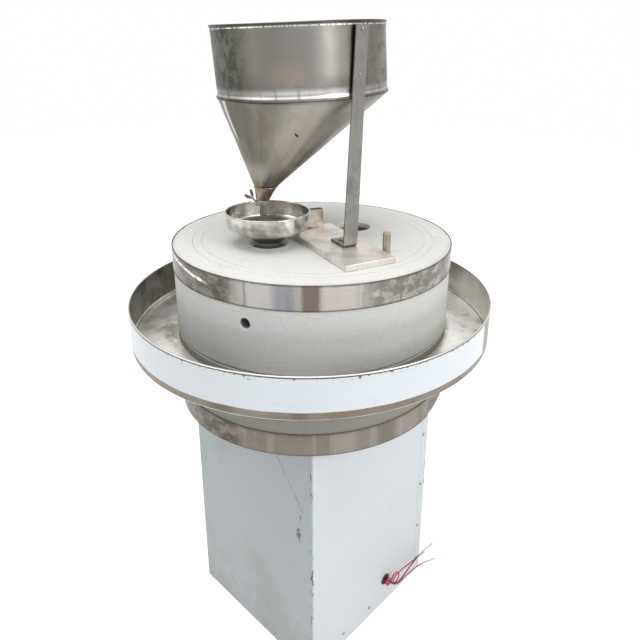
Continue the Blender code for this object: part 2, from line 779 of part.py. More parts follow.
def build_drive(head, shaft_finish, cast_finish, plate_finish):
    """Main shaft, coupling, gear reducer and the plate that it hangs on."""
    shaft = cylinder_mesh(shaft_radius, shaft_foot, runner_top, round_steps)
    pieces = [add_piece("main_shaft", shaft, shaft_finish)]
    stub = cylinder_mesh(shaft_radius, output_shaft_foot, shaft_foot - seat_gap, round_steps)
    pieces.append(add_piece("output_shaft", stub, shaft_finish))
    coupling_top = coupling_foot + coupling_height
    middle = coupling_foot + coupling_height / 2
    bore = shaft_radius + seat_gap
    groove = coupling_radius - coupling_groove
    groove_foot = middle - coupling_groove_width / 2
    groove_top = middle + coupling_groove_width / 2
    sleeve = [(bore, coupling_foot), (coupling_radius, coupling_foot), (coupling_radius, groove_foot),
              (groove, groove_foot), (groove, groove_top), (coupling_radius, groove_top),
              (coupling_radius, coupling_top), (bore, coupling_top)]
    pieces.append(add_piece("shaft_coupling", turned_mesh(sleeve, round_steps), cast_finish))
    for piece in pieces:
        piece.parent = head
    flange_top = reducer_flange_foot + reducer_flange_thickness
    neck_top = flange_top + reducer_neck_height
    pocket = output_shaft_foot - seat_gap
    bore = shaft_radius + running_gap
    body = [(0, reducer_foot), (reducer_radius, reducer_foot), (reducer_radius, reducer_flange_foot),
            (reducer_flange_radius, reducer_flange_foot), (reducer_flange_radius, flange_top),
            (reducer_neck_radius, flange_top), (reducer_neck_radius, neck_top), (bore, neck_top),
            (bore, pocket), (0, pocket)]
    reducer = add_piece("gear_reducer", turned_mesh(body, round_steps, closed=False), cast_finish)
    half_x = mount_plate_width / 2
    half_y = frame_half - angle_thickness - mount_plate_inset
    low = rail_top + seat_gap
    high = low + mount_plate_thickness
    shape = box_mesh((-half_x, -half_y, low), (half_x, half_y, high))
    plate = add_piece("reducer_plate", shape, plate_finish)
    opening = cylinder_mesh(reducer_radius + running_gap, low - cut_overrun, high + cut_overrun, round_steps)
    cut(plate, add_piece("opening", opening), bolt_hole_cutter(reducer_bolt_circle, low, flange_top))
    cut(reducer, bolt_hole_cutter(reducer_bolt_circle, low, flange_top))
    bolt = screw_profile(bolt_head_radius, bolt_head_radius, bolt_head_height, bolt_radius,
                         reducer_flange_thickness + mount_plate_thickness)
    places = [Matrix.Translation((x, y, flange_top + seat_gap))
              for x, y in bolt_spots(reducer_bolt_circle)]
    placed_screws("reducer_bolt", bolt, places, hex_steps, shaft_finish)
    return reducer


def fin_outline():
    """Plan of the finned motor barrel."""
    outline = []
    pitch = 2 * math.pi / motor_fin_count
    tip = motor_radius + motor_fin_height
    corners = ((motor_radius, 0.0), (tip, 0.0), (tip, motor_fin_share), (motor_radius, motor_fin_share))
    for index in range(motor_fin_count):
        start = index * pitch
        for radius, share in corners:
            angle = start + share * pitch
            outline.append((radius * math.cos(angle), radius * math.sin(angle)))
    return outline


def build_motor(cast_finish, cover_finish, fan_finish):
    """Finned motor under the reducer, with fan, fan cover and terminal box."""
    shield_top = motor_foot + motor_shield_height
    motor = add_piece("motor_body", prism_mesh(fin_outline(), shield_top, motor_top), cast_finish)
    full = motor_radius + motor_fin_height + motor_shield_lip
    spigot = full - 2 * fan_cover_sheet
    ring_top = shield_top + motor_shield_height
    shield = [(0, motor_foot), (spigot, motor_foot), (spigot, shield_top), (full, shield_top),
              (full, ring_top), (0, ring_top)]
    fuse(motor, add_piece("shield", turned_mesh(shield, round_steps, closed=False)))
    stub_hole = cylinder_mesh(motor_stub_radius + running_gap, motor_foot - cut_overrun, shield_top,
                              small_steps)
    cut(motor, add_piece("stub_hole", stub_hole))
    cover_top = shield_top - seat_gap
    cover_foot = motor_foot - fan_cover_height
    inside = full - fan_cover_sheet
    shell = [(0, cover_foot), (full, cover_foot), (full, cover_top), (inside, cover_top),
             (inside, cover_foot + fan_cover_sheet), (0, cover_foot + fan_cover_sheet)]
    cover = add_piece("fan_cover", turned_mesh(shell, round_steps, closed=False), cover_finish)
    vents = bmesh.new()
    for index in range(fan_vent_count):
        turn = Matrix.Rotation(2 * math.pi * index / fan_vent_count, 4, "Z")
        size = Vector((fan_vent_to - fan_vent_from, fan_vent_width, 2 * cut_overrun))
        spot = Vector(((fan_vent_from + fan_vent_to) / 2, 0, cover_foot))
        place = turn @ Matrix.Translation(spot) @ Matrix.Diagonal((*size, 1.0))
        bmesh.ops.create_cube(vents, size=1.0, matrix=place)
    cut(cover, add_piece("vents", vents))
    fan_top = motor_foot - fan_clearance
    fan_foot = fan_top - fan_blade_height
    hub = cylinder_mesh(fan_hub_radius, fan_foot, fan_top, small_steps)
    fan = add_piece("motor_fan", hub, fan_finish)
    inner = fan_hub_radius / 2
    blade_height = fan_blade_height - 2 * fan_blade_thickness
    for index in range(fan_blade_count):
        turn = Matrix.Rotation(2 * math.pi * index / fan_blade_count, 4, "Z")
        size = Vector((fan_blade_reach - inner, fan_blade_thickness, blade_height))
        spot = Vector(((fan_blade_reach + inner) / 2, 0, (fan_foot + fan_top) / 2))
        blade = add_piece("blade", box_mesh(-size / 2, size / 2))
        blade.data.transform(turn @ Matrix.Translation(spot))
        fuse(fan, blade)
    stub = cylinder_mesh(motor_stub_radius, fan_top - fan_clearance,
                         motor_foot + motor_shield_height / 2, small_steps)
    fuse(fan, add_piece("stub", stub))
    half = terminal_box_size / 2
    near = motor_radius + motor_fin_height + seat_gap
    middle = (motor_top + shield_top) / 2
    shape = box_mesh((near, -half, middle - half), (near + terminal_box_depth, half, middle + half))
    return add_piece("terminal_box", shape, cover_finish)


def build_bar(head, plate_finish, steel_finish):
    """Driver bar that lies on the runner, and the bolt of the post's foot."""
    half = bar_width / 2
    shape = box_mesh((bar_inner, -half, bar_foot), (bar_outer, half, bar_top))
    bar = add_piece("driver_bar", shape, plate_finish)
    bevel = bar.modifiers.new("edges", "BEVEL")
    bevel.width = bar_edge_radius
    bevel.segments = 1
    foot_y = post_side_y + post_width / 2
    seat = bar_top + seat_gap + post_thickness
    deep = seat - foot_bolt_length
    cutter = cylinder_mesh(bolt_hole_radius, deep - seat_gap, bar_top + cut_overrun, small_steps,
                           (foot_bolt_x, foot_y))
    cut(bar, add_piece("bolt_hole", cutter))
    bolt = screw_profile(foot_bolt_head, bolt_radius, foot_bolt_head_height, bolt_radius, foot_bolt_length)
    screw = add_piece("foot_bolt", turned_mesh(bolt, small_steps, closed=False), steel_finish)
    screw.location = (foot_bolt_x, foot_y, seat + seat_gap)
    for piece in (bar, screw):
        piece.parent = head
    return bar


def post_shift(height):
    """Sideways place of the post at a height, because it leans in its own plane."""
    return (height - bar_top) * math.tan(math.radians(post_lean_deg))


def post_twist(height):
    """Matrix that turns the post about its own upright axis at a height, flush with the drum at its top."""
    share = (height - bar_top - post_twist_from) / (post_twist_to - post_twist_from)
    turn = math.radians(post_twist_deg) * min(1.0, max(0.0, share))
    axis = Matrix.Translation((post_face_x - post_thickness / 2, post_side_y + post_width / 2, 0))
    return axis @ Matrix.Rotation(turn, 4, "Z") @ axis.inverted()


def post_mesh(grow=0.0):
    """Bent flat bar: foot on the driver bar, upright twisted to face the drum's side."""
    foot = bar_top + seat_gap - grow
    face = post_face_x + grow
    back = post_face_x - post_thickness - grow
    upper = foot + post_thickness + 2 * grow
    foot_end = post_face_x - post_foot_length
    bend = (face - post_bend_radius, foot + post_bend_radius)
    outer = [(foot_end, foot)] + arc_points(bend, post_bend_radius, -90, 0, bend_steps)
    inner = [(foot_end, upper)] + [(back, upper)] * (bend_steps + 1)
    for row in range(post_rows + 1):
        height = bar_top + post_twist_from + (post_twist_to - post_twist_from) * row / post_rows
        outer.append((face, height))
        inner.append((back, height))
    outer.append((face, post_top + grow))
    inner.append((back, post_top + grow))
    near = post_side_y - grow
    far = post_side_y + post_width + grow
    bm = bmesh.new()
    rings = []
    for (x, z), (deep_x, deep_z) in zip(outer, inner):
        ring = [Vector((x, near, z)), Vector((x, far, z)), Vector((deep_x, far, deep_z)),
                Vector((deep_x, near, deep_z))]
        for point in ring:
            turned = post_twist(point.z) @ point
            turned.y += max(0.0, post_shift(point.z))
            point[:] = turned
        rings.append([bm.verts.new(point) for point in ring])
    for lower, higher in zip(rings, rings[1:]):
        for index in range(len(lower)):
            bm.faces.new((lower[index - 1], lower[index], higher[index], higher[index - 1]))
    bm.faces.new(rings[0])
    bm.faces.new(rings[-1][::-1])
    bmesh.ops.remove_doubles(bm, verts=bm.verts, dist=seat_gap / 10)
    bmesh.ops.triangulate(bm, faces=bm.faces)
    return bm


def post_screw_matrices(offset):
    """Places of the two screws that hold the drum on the post."""
    middle = Matrix.Translation((post_face_x + offset, post_side_y + post_width / 2, 0))
    inward = Matrix.Rotation(math.pi / 2, 4, "Y")
    heights = [post_top - drop for drop in post_screw_drops]
    return [Matrix.Translation((0, post_shift(height), height)) @ post_twist(height) @ middle @ inward
            for height in heights]


def post_screw_cutter():
    """Holes for those two screws through the post and the drum's wall."""
    bm = bmesh.new()
    radius = screw_shank_radius + running_gap
    for place in post_screw_matrices(0):
        bmesh.ops.create_cone(bm, cap_ends=True, segments=screw_steps, radius1=radius, radius2=radius,
                              depth=2 * post_screw_length, matrix=place)
    return add_piece("screw_holes", bm)


def build_post(head, steel_finish):
    """Hopper post with its bent foot, and the drum's screws."""
    post = add_piece("hopper_post", post_mesh(), steel_finish)
    cutter = cylinder_mesh(bolt_hole_radius, bar_top - cut_overrun, bar_top + post_thickness + cut_overrun,
                           small_steps, (foot_bolt_x, post_side_y + post_width / 2))
    cut(post, add_piece("bolt_hole", cutter), post_screw_cutter())
    screw = screw_profile(screw_head_radius, screw_dome_radius, screw_head_height, screw_shank_radius,
                          post_screw_length)
    placed_screws("hopper_screw", screw, post_screw_matrices(seat_gap), screw_steps, steel_finish, head)
    post.parent = head
    return post


def drum_lean():
    """Matrix that leans the drum about its rim's centre, its foot towards +Y of the bar."""
    place = Matrix.Translation((drum_x, drum_y, drum_rim_height))
    return place @ Matrix.Rotation(math.radians(hopper_lean_deg), 4, "X")


def build_hopper(head, sheet_finish):
    """Leaning drum, slanting cone and spout with its collar."""
    inside = drum_radius - drum_sheet
    foot = -drum_height
    bead = (drum_radius, -rim_bead_radius)
    profile = [(drum_radius + drum_lip, foot), (drum_radius + drum_lip, foot + drum_lip_height),
               (drum_radius, foot + drum_lip_height), (drum_radius - drum_swage, foot + drum_swage_height),
               (drum_radius, foot + 2 * drum_swage_height), (drum_radius, -3 * rim_bead_radius)]
    profile += arc_points(bead, rim_bead_radius, -60, 180, rim_bead_steps)
    profile += [(inside, -3 * rim_bead_radius), (inside, foot + 2 * drum_swage_height),
                (inside - drum_swage, foot + drum_swage_height), (inside, foot + drum_lip_height),
                (inside, foot)]
    bm = turned_mesh(profile, drum_steps)
    bmesh.ops.transform(bm, matrix=drum_lean(), verts=bm.verts)
    drum = add_piece("hopper_drum", bm, sheet_finish)
    cut(drum, add_piece("post_clearance", post_mesh(seat_gap)), post_screw_cutter())
    lean = drum_lean()
    top = lean @ Vector((0, 0, foot - seat_gap))
    seam_foot = lean @ Vector((0, 0, foot - seat_gap - drum_lip_height))
    end = (cone_foot_x, cone_foot_y, cone_foot_height)
    rings = [ring_points(top, drum_radius + drum_lip, drum_steps, hopper_lean_deg),
             ring_points(seam_foot, drum_radius + drum_lip, drum_steps, hopper_lean_deg),
             ring_points(seam_foot, drum_radius, drum_steps, hopper_lean_deg),
             ring_points(end, cone_foot_radius, drum_steps),
             ring_points(end, cone_foot_radius - cone_sheet, drum_steps),
             ring_points(top, inside, drum_steps, hopper_lean_deg)]
    cone = add_piece("hopper_cone", lofted_mesh(rings), sheet_finish)
    cut(cone, add_piece("post_clearance", post_mesh(seat_gap)))
    start = (cone_foot_x, cone_foot_y, cone_foot_height - seat_gap)
    neck = (spout_x, spout_y, spout_neck_height)
    bore = collar_bore()
    tip = (spout_x, spout_y, spout_neck_height - seat_gap)
    rings = [ring_points(start, cone_foot_radius, round_steps),
             ring_points(neck, spout_neck_radius, round_steps),
             ring_points(neck, spout_neck_radius - cone_sheet, round_steps),
             ring_points(start, cone_foot_radius - cone_sheet, round_steps)]
    spout = add_piece("hopper_spout", lofted_mesh(rings), sheet_finish)
    rings = [ring_points(tip, collar_radius, round_steps),
             ring_points((spout_x, spout_y, tip[2] - collar_height), collar_radius, round_steps),
             ring_points((spout_x, spout_y, tip[2] - collar_height), bore, round_steps),
             ring_points(tip, bore, round_steps)]
    collar = add_piece("spout_collar", lofted_mesh(rings), sheet_finish)
    hole = cylinder_mesh(thumb_shank_radius + running_gap, -thumb_hole_depth, cut_overrun, small_steps)
    bmesh.ops.transform(hole, matrix=thumb_place(), verts=hole.verts)
    cut(collar, add_piece("screw_hole", hole))
    for piece in (drum, cone, spout, collar):
        piece.parent = head
    return drum


def collar_bore():
    """Bore of the collar, a sliding fit on the feed tube."""
    return feed_tube_radius + running_gap


def thumb_place():
    """Matrix of the thumb screw: its own +Z points up and out of the collar."""
    x, y = polar(collar_radius, thumb_screw_deg)
    spot = Matrix.Translation((spout_x + x, spout_y + y, thumb_screw_height))
    lean = math.pi / 2 - math.radians(thumb_screw_rise_deg)
    return spot @ Matrix.Rotation(math.radians(thumb_screw_deg), 4, "Z") @ Matrix.Rotation(lean, 4, "Y")


def build_feed_tube(head, tube_finish, screw_finish):
    """Sliding feed tube in the collar and the winged thumb screw that locks it."""
    tube_axis = empty("feed_tube_axis", (spout_x, spout_y, 0), parent=head)
    inside = feed_tube_radius - feed_tube_sheet
    top = spout_neck_height + feed_tube_rise
    section = [(inside, feed_tube_foot), (feed_tube_radius, feed_tube_foot), (feed_tube_radius, top),
               (inside, top)]
    tube = add_piece("feed_tube", turned_mesh(section, small_steps), tube_finish)
    tube.parent = tube_axis
    screw_axis = empty("thumb_screw_axis", parent=head)
    screw_axis.matrix_local = thumb_place()
    hub_foot = thumb_shank_length - thumb_hub_length
    shaft = [(0, -thumb_shank_inset), (thumb_shank_radius, -thumb_shank_inset),
             (thumb_shank_radius, hub_foot), (thumb_hub_radius, hub_foot),
             (thumb_hub_radius, thumb_shank_length), (0, thumb_shank_length)]
    screw = add_piece("thumb_screw", turned_mesh(shaft, small_steps, closed=False), screw_finish)
    half = thumb_wing_width / 2
    root = thumb_hub_radius / 2
    wing_top = hub_foot + thumb_wing_length
    for side in (-1, 1):
        bm = bmesh.new()
        outline = [(side * root, hub_foot), (side * half, wing_top - thumb_hub_length / 2),
                   (side * half * thumb_wing_tip_share, wing_top), (side * root, thumb_shank_length)]
        face = bm.faces.new([bm.verts.new((x, -thumb_wing_thickness / 2, z)) for x, z in outline])
        raised = bmesh.ops.extrude_face_region(bm, geom=[face])["geom"]
        corners = [item for item in raised if isinstance(item, bmesh.types.BMVert)]
        bmesh.ops.translate(bm, vec=(0, thumb_wing_thickness, 0), verts=corners)
        bmesh.ops.rotate(bm, verts=bm.verts, cent=(0, 0, 0),
                         matrix=Matrix.Rotation(math.radians(thumb_wing_turn_deg), 3, "Z"))
        fuse(screw, add_piece("wing", bm))
    screw.parent = screw_axis
    return tube


def build_bowl(head, sheet_finish, bracket_finish):
    """Feed bowl with rolled rim over the feed eye, and its folded bracket."""
    bead = (bowl_rim_radius - bowl_bead_radius, bowl_rim_height - bowl_bead_radius)
    profile = [(bowl_outlet_radius, bowl_outlet_foot), (bowl_outlet_radius, bowl_outlet_height),
               (bowl_turn_radius, bowl_turn_height), (bowl_wall_foot_radius, bowl_wall_foot),
               (bowl_wall_radius, bowl_rim_height - 2 * bowl_bead_radius)]
    profile += arc_points(bead, bowl_bead_radius, -60, 150, rim_bead_steps)
    inner = [(radius - bowl_sheet, height + bowl_sheet) for radius, height in profile[1:4]]
    profile += [(bowl_wall_radius - bowl_sheet, bowl_rim_height - 2 * bowl_bead_radius)] + inner[::-1]
    profile += [(bowl_outlet_radius - bowl_sheet, bowl_outlet_foot)]
    bm = turned_mesh(profile, bowl_steps)
    bmesh.ops.translate(bm, vec=(bowl_x, bowl_y, 0), verts=bm.verts)
    bowl = add_piece("feed_bowl", bm, sheet_finish)
    foot = bar_top + seat_gap
    wall_height = bowl_rim_height - 2 * bowl_bead_radius - bowl_wall_foot
    flare = (bowl_wall_radius - bowl_wall_foot_radius) / wall_height
    reach = bowl_wall_foot_radius + flare * (foot + bracket_height - bowl_wall_foot) + seat_gap
    front = bowl_y + math.sqrt(reach ** 2 - (bracket_front_x - bowl_x) ** 2)
    back = bowl_y + math.sqrt(reach ** 2 - (bracket_back_x + bracket_sheet - bowl_x) ** 2)
    sheet = bracket_sheet
    back_face = bracket_back_x + sheet
    front_face = bracket_front_x - sheet
    outline = [(bracket_front_x, front), (bracket_front_x, bracket_side_y), (back_face, bracket_side_y),
               (bracket_back_x, bracket_back_side_y), (bracket_back_x, back), (back_face, back),
               (back_face, bracket_back_side_y), (back_face + sheet, bracket_side_y - sheet),
               (front_face, bracket_side_y - sheet), (front_face, front)]
    bracket = add_piece("bowl_bracket", prism_mesh(outline, foot, foot + bracket_height), bracket_finish)
    for piece in (bowl, bracket):
        piece.parent = head
    return bowl


def through_points(points, spacing):
    """Points on one smooth curve through the given ones, at about the given spacing."""
    knots = [Vector(point) for point in points]
    padded = [2 * knots[0] - knots[1]] + knots + [2 * knots[-1] - knots[-2]]
    result = []
    for index in range(1, len(padded) - 2):
        before, here, after, beyond = padded[index - 1:index + 3]
        count = max(1, round((after - here).length / spacing))
        for step in range(count):
            t = step / count
            result.append(0.5 * (2 * here + (after - before) * t
                                 + (2 * before - 5 * here + 4 * after - beyond) * t ** 2
                                 + (3 * here - before - 3 * after + beyond) * t ** 3))
    return result + [knots[-1]]


def lead_exit(degrees):
    """Place of one lead in the grommet, in the plane of the panel's outer face."""
    y, z = polar(lead_spread, degrees)
    return base_side / 2, lead_exit_y + y, lead_exit_z + z


def knotted_route():
    """Lead that winds round the other two, makes one loop and leaves along the base."""
    x, y, z = lead_exit(knot_start_deg)
    route = [(x - lead_spread, y, z), (x + lead_spread, y, z)]
    start = x + lead_spread + knot_pitch
    turns = round((knot_end_deg - knot_start_deg) / turn_step_deg)
    for index in range(1, turns + 1):
        degrees = knot_start_deg + index * turn_step_deg
        side, rise = polar(knot_radius, degrees)
        along = start + knot_pitch * (degrees - knot_start_deg) / 360
        route.append((along, lead_exit_y + side, lead_exit_z + rise))
    start = route[-1][0]
    centre = lead_exit_y + knot_radius + loop_radius
    for index in range(1, round(loop_turn_deg / turn_step_deg) + 1):
        degrees = 180 - index * turn_step_deg
        side, rise = polar(loop_radius, degrees)
        along = start + loop_pitch * index * turn_step_deg / 360
        route.append((along, centre + side, lead_exit_z + rise))
    route += [(0.2210, 0.0900, 0.0868), (0.2220, 0.1150, 0.0850), (0.2230, 0.1450, 0.0810),
              (0.2236, 0.1700, 0.0775), (0.2240, 0.1892, 0.0739)]
    return route


def build_leads(grommet_finish, lead_finishes):
    """Grommet in the side panel and the three short motor leads that come out of it."""
    inner_end = -grommet_flange - sheet_thickness
    inner_face = -sheet_thickness - seat_gap
    groove = grommet_hole - seat_gap
    profile = [(grommet_bore, inner_end), (grommet_radius, inner_end), (grommet_radius, inner_face),
               (groove, inner_face), (groove, seat_gap), (grommet_radius, seat_gap),
               (grommet_radius, grommet_flange), (grommet_bore, grommet_flange)]
    bm = turned_mesh(profile, small_steps)
    place = (Matrix.Translation((base_side / 2, lead_exit_y, lead_exit_z))
             @ Matrix.Rotation(math.pi / 2, 4, "Y"))
    bmesh.ops.transform(bm, matrix=place, verts=bm.verts)
    add_piece("lead_grommet", bm, grommet_finish)
    upper = [(0.1970, 0.0524, 0.0772), (0.2060, 0.0524, 0.0772), (0.2140, 0.0524, 0.0772),
             (0.2220, 0.0526, 0.0776), (0.2290, 0.0555, 0.0790), (0.2335, 0.0625, 0.0810),
             (0.2350, 0.0720, 0.0835), (0.2345, 0.0900, 0.0875), (0.2325, 0.1200, 0.0930),
             (0.2310, 0.1516, 0.0958), (0.2300, 0.1800, 0.0935), (0.2300, 0.2143, 0.0881)]
    lower = [(0.1970, 0.0555, 0.0718), (0.2060, 0.0555, 0.0718), (0.2140, 0.0555, 0.0718),
             (0.2210, 0.0557, 0.0718), (0.2270, 0.0585, 0.0715), (0.2305, 0.0645, 0.0712),
             (0.2320, 0.0745, 0.0715), (0.2330, 0.0870, 0.0735), (0.2345, 0.1050, 0.0750),
             (0.2360, 0.1300, 0.0735), (0.2375, 0.1630, 0.0660), (0.2390, 0.1900, 0.0540),
             (0.2400, 0.2154, 0.0420)]
    routes = (("upper_lead", upper), ("knotted_lead", knotted_route()), ("lower_lead", lower))
    for (name, route), finish in zip(routes, lead_finishes):
        points = through_points(route, lead_spacing)
        curve = bpy.data.curves.new(name, "CURVE")
        curve.dimensions = "3D"
        curve.bevel_depth = lead_radius
        curve.bevel_resolution = 2
        curve.use_fill_caps = True
        spline = curve.splines.new("POLY")
        spline.points.add(len(points) - 1)
        for corner, point in zip(spline.points, points):
            corner.co = (*point, 1.0)
        curve.materials.append(finish)
        lead = bpy.data.objects.new(name, curve)
        bpy.context.scene.collection.objects.link(lead)


def build_mill():
    """Build the whole mill."""
    for old in list(bpy.data.objects):
        bpy.data.objects.remove(old)
    stainless = material("stainless_sheet", (0.56, 0.54, 0.50), 0.30, 1.0)
    tray_steel = material("tray_steel", (0.50, 0.47, 0.42), 0.35, 1.0)
    band_steel = material("band_steel", (0.50, 0.46, 0.41), 0.32, 1.0)
    bar_steel = material("bar_steel", (0.55, 0.52, 0.48), 0.42, 1.0)
    painted_sheet = material("painted_sheet", (0.78, 0.83, 0.86), 0.45, 0.0)
    white_film = material("white_film", (0.84, 0.88, 0.91), 0.35, 0.0)
    stone = material("granite", (0.62, 0.62, 0.59), 0.85, 0.0)
    frame_paint = material("frame_paint", (0.20, 0.21, 0.22), 0.60, 0.0)
    zinc = material("zinc_screw", (0.60, 0.60, 0.60), 0.40, 1.0)
    cast = material("cast_grey", (0.30, 0.33, 0.35), 0.65, 0.0)
    motor_blue = material("motor_blue", (0.12, 0.20, 0.30), 0.55, 0.0)
    bright_shaft = material("bright_shaft", (0.62, 0.61, 0.60), 0.25, 1.0)
    bronze = material("bronze_bush", (0.55, 0.38, 0.18), 0.40, 1.0)
    rubber = material("black_rubber", (0.03, 0.03, 0.03), 0.80, 0.0)
    fan_plastic = material("fan_plastic", (0.05, 0.05, 0.06), 0.50, 0.0)
    red_lead = material("red_insulation", (0.45, 0.05, 0.08), 0.50, 0.0)
    dark_lead = material("dark_insulation", (0.10, 0.05, 0.05), 0.50, 0.0)
    head = empty("head_axis", turn=(0, 0, math.radians(bar_angle_deg)))
    build_base_frame(frame_paint)
    build_panels(painted_sheet, zinc)
    build_top_plate(frame_paint)
    build_bearings(cast, bright_shaft, rubber)
    build_bed_stone(stone, band_steel)
    build_runner(stone, band_steel, bronze)
    build_tray(tray_steel, white_film)
    build_drive(head, bright_shaft, cast, frame_paint)
    build_motor(motor_blue, cast, fan_plastic)
    build_bar(head, bar_steel, zinc)
    build_post(head, stainless)
    build_hopper(head, stainless)
    build_feed_tube(head, bright_shaft, zinc)
    build_bowl(head, stainless, stainless)
    build_leads(rubber, (dark_lead, red_lead, red_lead))


build_mill()
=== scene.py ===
"""Dressed model of an electric stone mill for grinding cocoa.

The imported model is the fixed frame.  Each sub-assembly below builds the visible pieces at a finer
grain than the frame's solids, and dresses them.  Metres, +Z up, in the frame's own axes.
"""
from __future__ import annotations

import logging
import math
from collections.abc import Callable, Sequence
from dataclasses import dataclass, field
from enum import Enum
from typing import Any

import bmesh
import bpy
from bmesh.types import BMesh, BMVert
from bpy.types import Material, Object
from mathutils import Matrix, Vector, noise

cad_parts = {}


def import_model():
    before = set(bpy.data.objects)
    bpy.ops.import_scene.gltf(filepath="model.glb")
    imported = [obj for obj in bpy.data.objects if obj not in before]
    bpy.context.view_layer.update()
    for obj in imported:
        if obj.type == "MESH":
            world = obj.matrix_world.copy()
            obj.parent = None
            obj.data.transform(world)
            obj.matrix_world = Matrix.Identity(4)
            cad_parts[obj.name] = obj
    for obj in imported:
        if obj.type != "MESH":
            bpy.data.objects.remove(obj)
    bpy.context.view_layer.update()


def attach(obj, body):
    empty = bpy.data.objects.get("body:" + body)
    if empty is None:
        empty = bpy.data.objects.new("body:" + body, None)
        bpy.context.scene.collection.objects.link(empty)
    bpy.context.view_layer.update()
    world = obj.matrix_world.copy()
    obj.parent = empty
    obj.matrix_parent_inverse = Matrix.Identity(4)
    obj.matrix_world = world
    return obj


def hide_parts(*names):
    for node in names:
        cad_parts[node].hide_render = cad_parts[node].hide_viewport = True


LOG = logging.getLogger("mill")

Colour = tuple[float, float, float]
Point = tuple[float, float]
Spot = tuple[float, float, float]

ORIGIN: Spot = (0.0, 0.0, 0.0)
QUARTER = math.pi / 2
SEAT_GAP = 0.0003


class Body(Enum):
    """Moving bodies of the mill that carry dressed pieces, by the frame's names."""

    BASE = "base"
    RUNNER = "runner"
    HEAD = "head"
    TUBE = "feed_tube"
    THUMB = "thumb_screw"


class Cut(Enum):
    """Ways in which one mesh changes another."""

    AWAY = "DIFFERENCE"
    TOGETHER = "UNION"


@dataclass(frozen=True)
class Port:
    """Output socket of a shader node, on which Python operators build Math nodes.

    Args:
        graph: the material graph that the socket belongs to.
        socket: the wrapped output socket.
    """

    graph: "Graph"
    socket: bpy.types.NodeSocket

    def _math(self, operation: str, *values: "Port | float") -> "Port":
        """Return the result of a Math node on the values."""
        node = self.graph.node("ShaderNodeMath", {"operation": operation}, list(values))
        return Port(self.graph, node.outputs[0])

    def __add__(self, other: "Port | float") -> "Port":
        """Sum."""
        return self._math("ADD", self, other)

    __radd__ = __add__

    def __sub__(self, other: "Port | float") -> "Port":
        """Difference."""
        return self._math("SUBTRACT", self, other)

    def __rsub__(self, other: "Port | float") -> "Port":
        """Difference, with the plain number first."""
        return self._math("SUBTRACT", other, self)

    def __mul__(self, other: "Port | float") -> "Port":
        """Product, which crosses masks."""
        return self._math("MULTIPLY", self, other)

    __rmul__ = __mul__

    def __truediv__(self, other: "Port | float") -> "Port":
        """Quotient."""
        return self._math("DIVIDE", self, other)

    def __abs__(self) -> "Port":
        """Size without sign."""
        return self._math("ABSOLUTE", self)

    def __or__(self, other: "Port | float") -> "Port":
        """Larger of the two, which joins masks."""
        return self._math("MAXIMUM", self, other)

    def root(self) -> "Port":
        """Square root."""
        return self._math("SQRT", self)

    def angle_from(self, run: "Port") -> "Port":
        """Angle of the direction whose rise is this value."""
        return self._math("ARCTAN2", self, run)

    def rise(self, none: float, full: float) -> "Port":
        """Smooth step from 0 at the first value to 1 at the second, which may be the lower one."""
        node = self.graph.node("ShaderNodeMapRange", {"interpolation_type": "SMOOTHSTEP"},
            {"Value": self, "From Min": none, "From Max": full})
        return Port(self.graph, node.outputs["Result"])

    def near(self, place: float, reach: float) -> "Port":
        """Mask that is 1 at a place and 0 beyond its reach."""
        return abs(self - place).rise(reach, 0.0)


